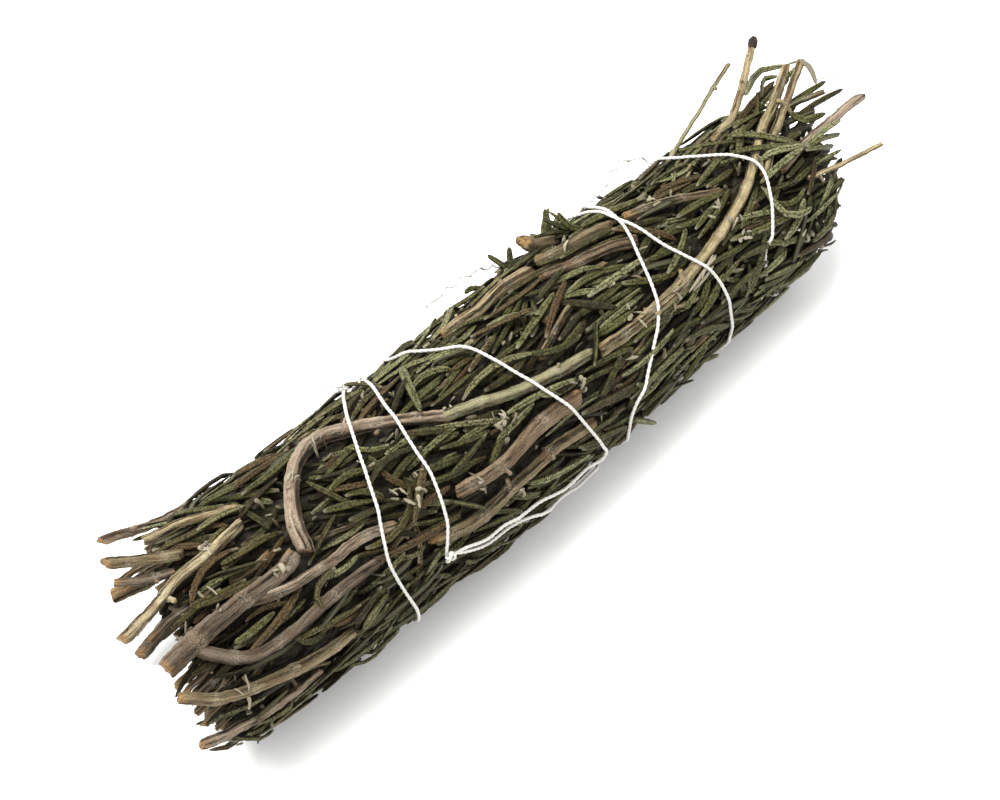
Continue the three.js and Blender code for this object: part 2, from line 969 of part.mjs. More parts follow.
for (let i = 0; i < SPRIGS; i++) {
  const whole = wasm.Manifold.union([
    sprigMass(i),
    sprigStem(i),
    ...sprigLeaves(i),
    ...endLeaves(i),
    ...strayLeaves(i),
  ]);
  const cut = [...stemRoom, ...threadRoom].reduce((left, room) => left.subtract(room), whole);
  add("leafy_sprig_" + String(i + 1).padStart(2, "0"), cut, LEAF_GREEN);
}
stemNames.forEach((name, i) => {
  add(name, stemSolids[i], STEMS.find((stem) => stem.name === name).colour);
});
for (let i = 0; i < HEART_STEMS; i++) add("heart_stem_" + (i + 1), heartStem(i), STEM_BROWN);
add("cotton_thread", threadSolid(THREAD_RADIUS), THREAD_WHITE, 0.95);

export default stick;
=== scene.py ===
import math

import bpy
import numpy as np
from bpy.props import FloatProperty, FloatVectorProperty, IntProperty, PointerProperty
from mathutils import Matrix, Vector


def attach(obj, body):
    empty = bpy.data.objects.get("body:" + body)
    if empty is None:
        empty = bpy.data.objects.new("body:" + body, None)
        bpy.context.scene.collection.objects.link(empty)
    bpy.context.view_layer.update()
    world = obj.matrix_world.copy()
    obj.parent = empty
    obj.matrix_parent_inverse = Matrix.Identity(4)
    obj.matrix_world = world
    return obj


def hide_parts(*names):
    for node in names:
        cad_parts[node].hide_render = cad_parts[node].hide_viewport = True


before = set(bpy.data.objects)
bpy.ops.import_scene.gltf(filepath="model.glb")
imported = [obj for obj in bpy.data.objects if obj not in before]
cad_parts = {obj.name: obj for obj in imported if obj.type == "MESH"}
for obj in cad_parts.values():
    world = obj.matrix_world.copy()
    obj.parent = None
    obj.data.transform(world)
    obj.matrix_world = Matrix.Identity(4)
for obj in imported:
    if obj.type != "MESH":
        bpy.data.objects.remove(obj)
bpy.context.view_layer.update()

bl_info = {
    "name": "Dried rosemary bundle",
    "version": (1, 0, 0),
    "blender": (4, 5, 0),
    "location": "3D View > Sidebar > Bundle",
    "description": "Dresses a bound bundle of dried rosemary with leaves, bark and cotton thread",
    "category": "Object",
}

# Lengths in this script are millimetres, and a mesh is made in metres.
# The bundle lies along X. A place on it is (x, angle, lift): the angle runs round the axis in degrees, 0
# facing -Y and 90 up, and the lift is measured outwards from the skin, the surface that the leaves reach.
MM = 0.001
PILE_SEED, MASS_SEED, STEM_SEED = 7, 23, 11

HALF = 90.0  # half of the leafy body's length
SKIN_STATIONS = (-HALF, -55, -20, 15, 50, 75, HALF)
SKIN_RADII = (22.2, 21.2, 20.8, 20.4, 18.8, 18.2, 16.6)
FULLER_STATIONS = (-HALF, -50, -20, 0, 30, HALF)  # where the bundle is fuller towards FULLER_TOWARDS
FULLER_BY = (0.0, 1.4, 1.9, 1.4, 0.0, 0.0)
FULLER_TOWARDS = -28.0
PRESSED = 1.0  # how much the bundle is flattened underneath
GROUND_GAP = 0.05  # what lies underneath is pressed flat this far above the ground
MEAN_RADIUS = 20.5
# Where the leaves end: a mean place, how far it swings round the bundle, and the angle that reaches furthest.
NEAR_END = (-85.0, 9.5, 25.0)
FAR_END = (81.0, 6.5, 110.0)

SPRIGS = 10
HEART_RADIUS = 6.0
TWIST = 20.0  # degrees from end to end
BORDER_SWING, BORDER_WAVE = 2.5, 19.0  # degrees and millimetres: how the border between two sprigs wanders
SPRIG_STEM_RADII = (1.0, 1.35)
SPRIG_STEM_RADIUS = 12.5  # from the bundle's axis
SPRIG_STEM_SHARE = 0.6  # of the way out to the skin
SPRIG_STEM_REACH = (-15.0, -5.0, -1.0)
HEART_STEMS = 7
HEART_STEM_RADII = (1.55, 0.9)
HEART_RING = 3.9  # from the axis to the outer heart stems
HEART_STEM_ENDS = (-HALF + 8, HALF - 13)
ENDS_VARY = 3.0

# Each bare stem has its node, the radius at both ends, the finish of its bark and its route.
BARE_STEMS = (
    ("hooked_stem", (1.45, 1.2), "silver", ((-63, 61, -0.6), (-61, 76, -0.5), (-56, 93, -0.4),
     (-49.5, 107, -0.4), (-43.5, 109, -0.4), (-35.5, 93.5, -0.5), (-24, 72, -0.6))),
    ("hooked_stem", (1.2, 1.1), "green", ((-25, 73, -0.6), (-9, 59, -0.6), (7.8, 50.6, -0.7))),
    ("long_stem", (1.25, 0.95), "tan", ((10, 48, -0.6), (25, 47, -0.5), (37, 52, -0.4), (51, 62, -0.4),
     (60, 72, -0.3), (68, 87, -0.1), (75, 99, 0.2), (83, 110, 1.8), (91, 120, 5.2))),
    ("long_stem_twin", (1, 0.8), "tan", ((66, 72, -0.6), (73, 86, -0.3), (80, 98, 0.6), (87, 107, 3),
     (93.5, 114, 5.6))),
    ("forked_stem", (1.9, 1.45), "grey", ((-97, 57, -1.6), (-89, 59, -0.9), (-77, 60, -0.8), (-68, 61, -0.8),
     (-65, 64, -1))),
    ("forked_stem", (1.1, 0.9), "silver", ((-78, 60, -0.8), (-73, 55, -0.5), (-63, 50, -0.6), (-53, 49, -0.6),
     (-46, 44, -0.8))),
    ("forked_stem", (1.2, 1), "grey", ((-91, 58, -1), (-89, 50, -0.7), (-83, 37, -0.6), (-73, 34, -0.6),
     (-62, 36, -0.6), (-53, 34, -0.8))),
    ("broken_stem", (1.2, 1.5), "rust", ((-32, 37, -0.6), (-21, 33, -0.5), (-11, 37, -0.6), (1, 36, -0.6))),
    ("side_stem", (1.25, 1), "brown", ((-40.5, 23.5, -0.7), (-31.5, 17.5, -0.5), (-22.5, 19, -0.5),
     (-9.5, 20.5, -0.6), (1.5, 16.5, -0.8))),
    ("short_twig", (0.8, 0.6), "brown", ((-1, 65, -1), (7, 74, -0.7), (12, 79, -1))),
    ("crest_stem_1", (1.05, 1.15), "pale", ((-9, 126, -0.9), (-1.5, 119, -0.5), (6.5, 122, -0.4),
     (13.5, 119.5, -0.9))),
    ("crest_stem_2", (1.2, 1.2), "brown", ((16.5, 122.5, -0.8), (21, 114, -0.4), (27, 112, -0.4),
     (33, 107, -0.7))),
    ("crest_stem_3", (1, 1.35), "rust", ((13, 106.5, -0.9), (20, 99, -0.6), (27, 93, -0.5), (33, 86, -0.6))),
    ("crest_stem_4", (1, 0.7), "brown", ((36.5, 107, -0.8), (44, 97, -0.6), (52, 86, -0.8), (56, 81, -1))),
    ("crest_stub", (1.4, 1.5), "brown", ((24.5, 135.5, -1), (21, 138, 0.6), (18.5, 135.5, 2.8))),
    ("near_stem_1", (0.9, 0.8), "silver", ((-87, 139, 2.7), (-82, 141, 1.2), (-75.5, 147, -0.3),
     (-67.5, 148, -1))),
    ("near_stem_2", (1, 0.8), "pale", ((-82, 126, -0.3), (-74, 118, -0.5), (-66, 105.5, -0.9))),
    ("near_stem_3", (1.15, 1), "brown", ((-92, 115, 2.6), (-87, 109, 0.6), (-80, 101, -1.2))),
    ("near_stem_4", (0.8, 0.8), "grey", ((-94, 103, 2.4), (-89, 98, 0.2), (-84, 95, -1))),
    ("near_stem_5", (1.15, 1), "bleached", ((-100, 81, 0), (-94, 82, -0.2), (-85, 88, -0.5), (-74, 91, -0.6),
     (-68, 95, -1))),
    ("near_stem_6", (1.05, 0.95), "brown", ((-98.5, 44, 0), (-92, 31, -0.3), (-82, 21, -0.5), (-70, 12, -0.6),
     (-62.5, 9.5, -0.9))),
    ("near_stem_7", (1.05, 0.8), "silver", ((-99, 16, -0.2), (-93, 9, -0.3), (-82, 1, -0.6),
     (-71.5, 0.5, -0.8))),
    ("far_stem_1", (0.9, 1.05), "silver", ((70, 66, -1), (77, 71, -0.3), (88, 75, 0), (98, 76, -0.2))),
    ("far_stem_2", (0.55, 0.45), "pale", ((74, 52, -1), (80, 48, -0.2), (87, 44, 0.2), (95, 40, 0.4))),
    ("far_stem_3", (0.75, 0.75), "pale", ((67, 124, -1.2), (75, 129, -0.2), (80.5, 130, 4), (88, 130, 11.2))),
    ("far_stem_4", (0.5, 0.45), "green", ((58, 141, -1.2), (66, 143, 1.6), (76, 143, 5.3), (85, 143, 9.4))),
    ("back_stem_1", (1.4, 1), "brown", ((-86, 196, -0.4), (-74, 202, -0.6), (-50, 206, -0.6),
     (-28, 198, -0.9))),
    ("back_stem_2", (1.2, 0.9), "grey", ((-87, 232, -0.6), (-76, 226, -0.5), (-58, 232, -0.6),
     (-42, 228, -0.9))),
    ("back_stem_3", (1, 1.3), "brown", ((2, 186, -0.9), (26, 194, -0.6), (52, 190, -0.6), (72, 178, -0.5),
     (92, 172, 0.6))),
    ("back_stem_4", (1.3, 0.9), "grey", ((-18, 226, -0.8), (8, 220, -0.6), (34, 226, -0.6), (62, 219, -0.6),
     (84, 226, -0.9))),
    ("back_stem_5", (1.1, 0.8), "pale", ((-72, 168, -0.9), (-54, 174, -0.6), (-30, 168, -0.5),
     (-12, 173, -0.9))),
)

# The thread's way round the bundle: (x, angle, slack), where angles count on past a full turn and the
# slack, if any, is how far it hangs off the bundle.
FIRST_LOOP = (
    (-30, 143), (-39.5, 99), (-46, 65), (-51, 33), (-50.5, 12), (-48, -12), (-42, -70), (-38, -110),
    (-34, -160), (-31, -210), (-30, -223),
)
SECOND_PASS = (
    (-28.5, 143), (-28, 125.5), (-31.5, 94.5), (-34, 68), (-35, 51), (-37, 32), (-39.5, 13), (-35, 10, 0.6),
    (-30, 5, 0.6), (-25, 5, 0.6), (-19.5, 1, 0.6), (-14, -2, 0.6), (-9, -6, 0.6), (-3, -6, 0.6),
    (1.3, -7, 0.6), (2.4, -4, 0.5), (1.3, 3, 0.4), (-0.5, 17), (-3, 36), (-6, 54), (-9, 75), (-10.5, 93.5),
    (-14.5, 112.5), (-19, 139), (-17, 160), (-10, 190), (0, 230), (8, 270), (11, 315), (10.5, 361.5),
    (20, 390), (26, 410), (30, 438), (34, 465), (36, 500), (42, 540), (49, 590), (53, 630), (55, 690),
    (56, 745), (61, 772), (65, 794), (62, 819), (58, 840), (57, 868), (53, 905), (47, 950), (44, 990),
    (43, 1045), (42, 1092), (41, 1122), (36, 1152), (34, 1183), (33, 1210), (26, 1260), (16, 1305),
    (9, 1350), (5.5, 1402), (1.5, 1416, 0.6), (-5, 1420, 0.6), (-11.5, 1426, 0.6), (-17.5, 1434, 0.6),
    (-24, 1440.5, 0.6), (-30.5, 1442, 0.6), (-35.5, 1448, 0.6), (-39.5, 1453),
)
# Where leaves hide the thread, from one angle to another, and how far it dips there.
BURIED = ((686.0, 758.0),)
BURIED_DIP = 2.0
LOOSE_ENDS = (
    ((22, 178, 1), (16, 162, 1.6), (10, 152, 3), (2, 151, 4), (-4, 152, 3.6)),
    ((57, 150, 1), (54, 151, 3.6), (49, 150, 4.2), (45, 148, 2.2), (38, 140, 1)),
)
# Knots: (x, angle, radius).
KNOTS = ((-30, 141, 1.3), (-28, 129, 1.2), (-39.5, 13, 1.1))
KNOT_SHARES = (0.806, 0.62, 0.341)  # of its radius: how far its thread swings along, across and up


# The bundle's surface


def radius_at(x):
    return np.interp(x, SKIN_STATIONS, SKIN_RADII)


def axis_height(x):
    return radius_at(x) - PRESSED


def skin_at(x, angle):
    fuller = np.interp(x, FULLER_STATIONS, FULLER_BY) * np.cos(np.radians(angle - FULLER_TOWARDS))
    radius = radius_at(x) + fuller
    down = -np.sin(np.radians(angle))
    return np.where(down > 0, np.minimum(radius, axis_height(x) / np.maximum(down, 0.01)), radius)


def at_radius(x, angle, radius):
    x, angle, radius = np.broadcast_arrays(*(np.asarray(v, float) for v in (x, angle, radius)))
    a = np.radians(angle)
    return np.stack([x, -radius * np.cos(a), axis_height(x) + radius * np.sin(a)], axis=-1)


def on_skin(x, angle, lift=0.0):
    return at_radius(x, angle, skin_at(x, angle) + lift)


def outward(angle):
    a = np.radians(np.asarray(angle, float))
    return np.stack([np.zeros_like(a), -np.cos(a), np.sin(a)], axis=-1)


def off_skin(points):
    """The angle and the lift of points in space."""
    height = points[:, 2] - axis_height(points[:, 0])
    angle = np.degrees(np.arctan2(height, -points[:, 1]))
    return angle, np.hypot(points[:, 1], height) - skin_at(points[:, 0], angle)


def angle_of(point):
    return math.degrees(math.atan2(point[2] - float(axis_height(point[0])), -point[1]))


def near_end(angle, share=1.0):
    mean, swing, towards = NEAR_END
    return mean - swing * share * np.cos(np.radians(angle - towards))


def far_end(angle, share=1.0):
    mean, swing, towards = FAR_END
    return mean + swing * share * np.cos(np.radians(angle - towards))


def places(route):
    return np.array([on_skin(*place) for place in route])


def at_shares(path, shares):
    """The points at the given shares of a path's length."""
    along = lengths_along(path)
    return np.stack([np.interp(shares * along[-1], along, path[:, axis]) for axis in range(3)], axis=1)


def border_at(index, x):
    """The angle where one sprig ends and the next begins."""
    first = -90 - 180 / SPRIGS
    wave = BORDER_SWING * np.sin(x / BORDER_WAVE + 2.1 * (index % SPRIGS))
    return first + (360 / SPRIGS) * index + TWIST * x / (2 * HALF) + wave


def sprig_of(x, angle):
    """The sprig that a place belongs to."""
    for index in range(SPRIGS):
        turn = (angle - border_at(index, x)) % 360
        if turn < (border_at(index + 1, x) - border_at(index, x)) % 360:
            return index
    return 0


def stem_side(index):
    """The end where a sprig's cut stem shows: every third sprig lies the other way round."""
    return 1 if index % 3 == 1 else -1


# Curves and random draws


def unit(vectors):
    return vectors / np.maximum(np.linalg.norm(vectors, axis=-1, keepdims=True), 1e-9)


def smooth_curve(points, spacing):
    """Evenly spaced points on a smooth curve through the given ones."""
    points = np.asarray(points, float)
    ends = 2 * points[[0, -1]] - points[[1, -2]]
    points = np.vstack([ends[:1], points, ends[1:]])
    dense = [points[1:2]]
    for p0, p1, p2, p3 in zip(points, points[1:], points[2:], points[3:]):
        t0 = 0.0
        t1 = t0 + math.sqrt(np.linalg.norm(p1 - p0))
        t2 = t1 + math.sqrt(np.linalg.norm(p2 - p1))
        t3 = t2 + math.sqrt(np.linalg.norm(p3 - p2))
        t = np.linspace(t1, t2, 17)[1:, None]
        a1 = (t1 - t) / (t1 - t0) * p0 + (t - t0) / (t1 - t0) * p1
        a2 = (t2 - t) / (t2 - t1) * p1 + (t - t1) / (t2 - t1) * p2
        a3 = (t3 - t) / (t3 - t2) * p2 + (t - t2) / (t3 - t2) * p3
        b1 = (t2 - t) / (t2 - t0) * a1 + (t - t0) / (t2 - t0) * a2
        b2 = (t3 - t) / (t3 - t1) * a2 + (t - t1) / (t3 - t1) * a3
        dense.append((t2 - t) / (t2 - t1) * b1 + (t - t1) / (t2 - t1) * b2)
    return even_points(np.vstack(dense), spacing)


def lengths_along(path):
    return np.concatenate([[0.0], np.cumsum(np.linalg.norm(np.diff(path, axis=0), axis=1))])


def even_points(path, spacing):
    along = lengths_along(path)
    count = max(3, int(math.ceil(along[-1] / spacing)) + 1)
    wanted = np.linspace(0, along[-1], count)
    return np.stack([np.interp(wanted, along, path[:, axis]) for axis in range(path.shape[1])], axis=1)


def frames_along(path):
    """Tangents, and normals carried along the path without twist."""
    tangents = unit(np.gradient(path, axis=0))
    normal = np.cross(tangents[0], (0.31, 0.52, 0.79))
    normals = []
    for tangent in tangents:
        normal = normal - tangent * np.dot(normal, tangent)
        normal = normal / np.linalg.norm(normal)
        normals.append(normal)
    return tangents, np.array(normals)


def stream(seed):
    """The same repeatable numbers from 0 to 1 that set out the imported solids."""
    state = seed

    def draw():
        nonlocal state
        state = (state + 0x6D2B79F5) & 0xFFFFFFFF
        t = ((state ^ (state >> 15)) * (1 | state)) & 0xFFFFFFFF
        t = ((t + (((t ^ (t >> 7)) * (61 | t)) & 0xFFFFFFFF)) ^ t) & 0xFFFFFFFF
        return ((t ^ (t >> 14)) & 0xFFFFFFFF) / 4294967296

    return draw


# The pile of leaves


PILE_CELL = 0.3
PILE_REACH = 106.0
DEEPEST = -4.9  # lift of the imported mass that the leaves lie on
LEAF_STEPS = np.linspace(0, 1, 9)  # where a leaf feels for what is under it, as shares of its length
LEAF_STATIONS = np.array([0, 0.1, 0.3, 0.52, 0.74, 0.93, 1.0])  # where its mesh has a section
LEAF_SIZES = np.array([0.38, 0.74, 0.97, 1.0, 0.96, 0.72, 0.3])
LEAF_THICKNESS = 0.44  # of a leaf's width
LEAF_LOWEST = 0.45  # height of a leaf's middle line above the ground
SHADE_FROM, SHADE_OVER = 0.6, 2.2  # the depths where painted shade begins to darken a leaf, and over which it does
COVERED_SHARE = 0.6  # how much of that comes from what covers a leaf, and not from how deep it lies
TRIES = 6
TURNED_OVER, ON_EDGE = 0.06, 0.18  # the shares of leaves that lie so
CURLED, DRIED_BROWN, STANDING, STICKING_OUT = 0.2, 0.12, 0.08, 0.04  # and of those that are so


class Pile:
    """Leaves laid one by one on the unrolled skin, each resting on what is under it."""

    def __init__(self):
        self.rows = int(2 * PILE_REACH / PILE_CELL)
        self.columns = int(2 * math.pi * MEAN_RADIUS / PILE_CELL)
        self.height = np.full((self.rows, self.columns), DEEPEST)
        self.leaves = []
        self.twigs = []

    def add_twig(self, points, radius, finish):
        self.twigs.append((points, radius, finish, sprig_of(float(points[0][0]), angle_of(points[0]))))

    def cells(self, x, angle):
        row = np.clip(((x + PILE_REACH) / PILE_CELL).astype(int), 0, self.rows - 1)
        column = ((angle % 360) / 360 * self.columns).astype(int) % self.columns
        return row, column

    def read(self, x, angle):
        return self.height[self.cells(x, angle)]

    def raise_to(self, x, angle, level):
        np.maximum.at(self.height, self.cells(x, angle), level)

    def painted_shade_of(self, points):
        """How far under the top of the pile each point lies, from 0 to 1: how much painted shade darkens it.
        """
        angle, lift = off_skin(points)
        under = self.read(points[:, 0], angle) - lift
        covered = np.clip((under - SHADE_FROM) / SHADE_OVER, 0, 1)
        deep = np.clip(-(lift + SHADE_FROM) / SHADE_OVER, 0, 1)
        return covered * COVERED_SHARE + deep * (1 - COVERED_SHARE)

    def add_bar(self, path, radius):
        """A stem on the pile: path in space, with its radius at each point."""
        angle, lift = off_skin(path)
        tangents = unit(np.gradient(path, axis=0))
        across = unit(np.cross(tangents, outward(angle)))
        for share in np.linspace(-1, 1, 11):
            edge = path + across * (radius * share)[:, None]
            top = lift + radius * math.sqrt(max(0.0, 1 - share * share))
            self.raise_to(edge[:, 0], off_skin(edge)[0], top)


def upper_hull(t, heights):
    """The line that a taut strip makes over a row of heights."""
    kept = []
    for i in range(len(t)):
        while len(kept) > 1:
            a, b = kept[-2], kept[-1]
            rise = (heights[b] - heights[a]) * (t[i] - t[a])
            if rise <= (heights[i] - heights[a]) * (t[b] - t[a]):
                kept.pop()
            else:
                break
        kept.append(i)
    return np.interp(t, t[kept], heights[kept])


def lay_leaf(pile, rng, look, limit, spot=None):
    """Tries some places for a leaf and lays it where the pile is lowest and under the limit, if any is."""
    t = LEAF_STEPS
    if spot is None:
        x0 = rng.uniform(-HALF - 6, HALF + 4, TRIES)
        angle0 = rng.uniform(0, 360, TRIES)
        heading = look["heading"](rng, x0, angle0)
    else:
        x0, angle0, heading = (np.array([v], float) for v in spot)
    turn = heading[:, None] + look["bend"] * (t - 0.3)
    step = look["length"] / (len(t) - 1)
    x = x0[:, None] + np.cumsum(np.cos(turn), axis=1) * step
    angle = angle0[:, None] + np.degrees(np.cumsum(np.sin(turn), axis=1) * step / MEAN_RADIUS)
    heights = under_leaf(pile, look, x, angle, turn)
    beyond = np.maximum(near_end(angle) - x, x - far_end(angle)).max(axis=1) > look["overhang"]
    room = np.minimum(limit, skin_room(x, angle)) - leaf_thickness(look)
    over = (heights - room).max(axis=1) + 100 * beyond
    best = int(np.argmin(over + heights.mean(axis=1)))
    if over[best] <= 0:
        settle_leaf(pile, look, x[best], angle[best], turn[best], heights[best])


def leaf_thickness(look):
    return look["width"] * (LEAF_THICKNESS + 0.45 * abs(math.sin(look["roll"])))


def under_leaf(pile, look, x, angle, turn):
    """The pile's height along a leaf: the highest across its width."""
    heights = np.full(x.shape, -100.0)
    for share in (-0.4, 0, 0.4):
        aside = share * look["width"]
        beside = angle + np.degrees(aside * np.cos(turn) / MEAN_RADIUS)
        heights = np.maximum(heights, pile.read(x - aside * np.sin(turn), beside))
    return heights


def settle_leaf(pile, look, x, angle, turn, heights):
    """Lays a leaf like a taut strip over the heights under it, and raises the pile by it."""
    rest = upper_hull(LEAF_STEPS, heights)
    rest = 0.5 * rest + 0.5 * np.convolve(np.pad(rest, 1, mode="edge"), (0.25, 0.5, 0.25), mode="valid")
    thick = leaf_thickness(look)
    keep_leaf(pile, look, x, angle, rest + 0.5 * thick + look["raised"] * LEAF_STEPS * LEAF_STEPS)
    stamp_leaf(pile, look, x, angle, turn, rest + thick)


def skin_room(x, angle):
    """How high leaves may pile: to just above the skin, and to no lower than the ground underneath."""
    down = np.maximum(-np.sin(np.radians(angle)), 0.05)
    height = axis_height(x) - skin_at(x, angle) * down
    return np.where(np.sin(np.radians(angle)) < 0, height / down - 0.15, 9.0)


def keep_leaf(pile, look, x, angle, lift):
    if look["kind"] == "twig":
        points = on_skin(x, angle, lift)
        pile.add_twig(points, look["width"] / 2, look["finish"])
        return
    x, angle, lift = (np.interp(LEAF_STATIONS, LEAF_STEPS, v) for v in (x, angle, lift))
    points = on_skin(x, angle, lift)
    points[:, 2] = np.maximum(points[:, 2], LEAF_LOWEST)
    # The leaves browned in broad patches, and more towards the cut end.
    browner = 0.5 - 0.006 * (x[0] + 20) + 0.25 * np.sin(x[0] / 9 + np.radians(3 * angle[0]))
    look["dried"] = float(np.clip(look["dried"] + 0.35 * max(0.0, browner - 0.3), 0, 1))
    add_guide(pile, look, points, outward(angle))


def add_guide(pile, look, points, up):
    """Keeps a leaf's middle line with its upper side's directions, turned by the leaf's roll and twist."""
    tangents = unit(np.gradient(points, axis=0))
    up = unit(up - tangents * np.sum(up * tangents, axis=1, keepdims=True))
    side = np.cross(tangents, up)
    roll = look["roll"] + look["twist"] * (LEAF_STATIONS - 0.5)
    up = up * np.cos(roll)[:, None] + side * np.sin(roll)[:, None]
    middle = points[len(points) // 2]
    pile.leaves.append({
        "points": points,
        "up": up,
        "size": LEAF_SIZES * look["width"] * look["lumps"],
        "tone": look["tone"],
        "felt": look["felt"],
        "dried": look["dried"],
        "sprig": sprig_of(float(middle[0]), angle_of(middle)),
    })


def stamp_leaf(pile, look, x, angle, turn, top):
    fine = np.linspace(0, 1, int(look["length"] / (0.8 * PILE_CELL)) + 2)
    coarse = np.linspace(0, 1, len(x))
    x, angle, turn, top = (np.interp(fine, coarse, v) for v in (x, angle, turn, top))
    for share in np.linspace(-0.5, 0.5, 7):
        sideways = share * look["width"]
        aside = np.degrees(sideways * np.cos(turn) / MEAN_RADIUS)
        edge = top - look["width"] * LEAF_THICKNESS * 1.6 * share * share
        pile.raise_to(x - sideways * np.sin(turn), angle + aside, edge)


def leaf_look(rng, settings):
    """The size, bend and colour of one leaf, as the dried leaves of this herb vary."""
    kind = rng.random()
    roll = rng.normal(0, 0.35)
    if kind < TURNED_OVER:
        roll += math.pi
    elif kind < TURNED_OVER + ON_EDGE:
        roll += rng.choice((-1, 1)) * rng.uniform(0.7, 1.3)
    bend = rng.normal(0, 0.3) if rng.random() < 1 - CURLED else rng.choice((-1, 1)) * rng.uniform(0.7, 1.7)
    return {
        "kind": "leaf",
        "width": settings.leaf_width / MM * rng.uniform(0.78, 1.18),
        "length": rng.uniform(settings.shortest_leaf, settings.longest_leaf) / MM,
        "lumps": rng.uniform(0.9, 1.08, len(LEAF_STATIONS)),
        "roll": roll,
        "twist": rng.normal(0, 0.4),
        "bend": bend,
        "tone": rng.beta(2.0, 2.2),
        "dried": rng.uniform(0.45, 1) if rng.random() < DRIED_BROWN else rng.uniform(0, 0.4) ** 1.5,
        "felt": 0.0,
        "raised": rng.uniform(0.8, 2.8) if rng.random() < STANDING else rng.uniform(0, 0.4),
        "heading": leaf_heading,
        "overhang": 5.0 if rng.random() < STICKING_OUT else rng.uniform(-3, 2),
    }


def scrap_look(rng):
    """A pale scrap of a leaf's foot or bud scale."""
    return {
        "kind": "leaf",
        "width": rng.uniform(0.45, 0.95),
        "length": rng.uniform(0.9, 2.4),
        "lumps": rng.uniform(0.6, 1.3, len(LEAF_STATIONS)),
        "roll": rng.uniform(-1.5, 1.5),
        "twist": rng.normal(0, 0.8),
        "bend": rng.normal(0, 0.5),
        "tone": rng.uniform(0.2, 1),
        "dried": rng.uniform(0.2, 0.8),
        "felt": rng.uniform(0.1, 0.8),
        "raised": rng.uniform(0, 1.2),
        "heading": leaf_heading,
        "overhang": 0.0,
    }


def twig_look(rng):
    """A short piece of a thin side twig."""
    return {
        **scrap_look(rng),
        "kind": "twig",
        "finish": rng.choice(("pale", "green", "brown", "rust")),
        "width": rng.uniform(0.75, 1.5),
        "length": rng.uniform(6, 20),
        "bend": rng.normal(0, 0.35),
        "raised": rng.uniform(0, 0.3),
        "overhang": 2.0,
    }


def leaf_heading(rng, x, angle):
    """Leaves point to either end, and lie near the line of their sprig."""
    sway = 0.24 * np.sin(x / 13 + np.radians(2 * angle)) + 0.17 * np.sin(x / 7.5 - np.radians(3 * angle))
    to_tip = np.sin(x / 31 + np.radians(angle)) + rng.normal(0, 0.9, x.shape) > -0.35
    wild = rng.random(x.shape) < 0.2
    spread = np.where(wild, rng.normal(0, 0.75, x.shape), rng.normal(0, 0.26, x.shape))
    return np.where(to_tip, 0.0, math.pi) + sway + spread


def lay_whorl(pile, rng, settings, limit):
    """A handful of leaves that fan out of one node, with their pale feet together."""
    x = rng.uniform(-HALF, HALF, TRIES)
    angle = rng.uniform(0, 360, TRIES)
    best = int(np.argmin(pile.read(x, angle)))
    x, angle = x[best], angle[best]
    heading = float(leaf_heading(rng, np.array([x]), np.array([angle]))[0])
    for fan in rng.permutation(np.linspace(-0.6, 0.6, rng.integers(4, 7))):
        look = leaf_look(rng, settings)
        look["length"] *= rng.uniform(0.75, 1)
        spot = (x + rng.normal(0, 0.5), angle + rng.normal(0, 1.5), heading + fan + rng.normal(0, 0.08))
        lay_leaf(pile, rng, look, limit, spot)
    for _ in range(3):
        look = scrap_look(rng)
        lay_leaf(pile, rng, look, limit + 0.4, (x, angle, heading + rng.normal(0, 1.2)))


GOLDEN_TURN = math.pi * (3 - math.sqrt(5))  # spreads places evenly over a disc
END_LEAVES = 230  # deep leaves whose tips show at each end
END_LEAF_FEET = (9, 16)  # how far behind the end their feet lie
END_COVER = 2.0  # from the skin to the outermost
OUTER_SHARE = 0.7  # of the radius: only past this may their tips stand out
END_LOWEST, TWIG_LOWEST = 0.6, 1.2
NEAR_TWIGS, FAR_TWIGS = 44, 14  # thin cut stems among them
TWIG_TURN = 40.0  # degrees between the first leaf and the first such stem
TWIG_RING, TWIG_COVER = 2.5, 3.2  # from the axis to the innermost, and from the skin to the outermost


def lay_end_leaves(pile, rng, settings):
    """Leaves and thin cut twigs deep in the bundle that show at its two ends."""
    for end, edge, twigs in ((-1, near_end, NEAR_TWIGS), (1, far_end, FAR_TWIGS)):
        for i in range(END_LEAVES):
            share = math.sqrt((i + 0.5) / END_LEAVES)
            angle = math.degrees(i * GOLDEN_TURN)
            limit = float(edge(angle, share))
            x = limit - end * rng.uniform(*END_LEAF_FEET)
            tip_x = limit + end * rng.uniform(-6, 1.5 if share > OUTER_SHARE else -0.5)
            radius = share * (float(radius_at(x)) - END_COVER)
            swing = math.degrees(rng.normal(0, 1.6) / max(radius, 4))
            bow = LEAF_STATIONS**2
            along = x + (tip_x - x) * LEAF_STATIONS
            points = at_radius(along, angle + swing * bow, radius + rng.normal(0.8, 1.2) * bow)
            points[:, 2] = np.maximum(points[:, 2], END_LOWEST)
            look = leaf_look(rng, settings)
            look["roll"] = rng.uniform(-math.pi, math.pi)
            look["dried"] = rng.uniform(0.1, 0.9) if end < 0 else look["dried"]
            add_guide(pile, look, points, outward(np.full(len(points), angle)))
        for i in range(twigs):
            share = math.sqrt((i + 0.5) / twigs)
            angle = math.degrees(i * GOLDEN_TURN) + TWIG_TURN
            limit = float(edge(angle, share))
            radius = TWIG_RING + share * (float(radius_at(limit)) - (TWIG_RING + TWIG_COVER))
            along = limit + end * np.array([-14.0, -6.0, rng.uniform(-4, 1)])
            points = at_radius(along, angle + rng.normal(0, 3, 3), radius + rng.normal(0, 0.6, 3))
            points[:, 2] = np.maximum(points[:, 2], TWIG_LOWEST)
            pile.add_twig(points, rng.uniform(0.4, 0.95), rng.choice(("brown", "grey", "rust")))


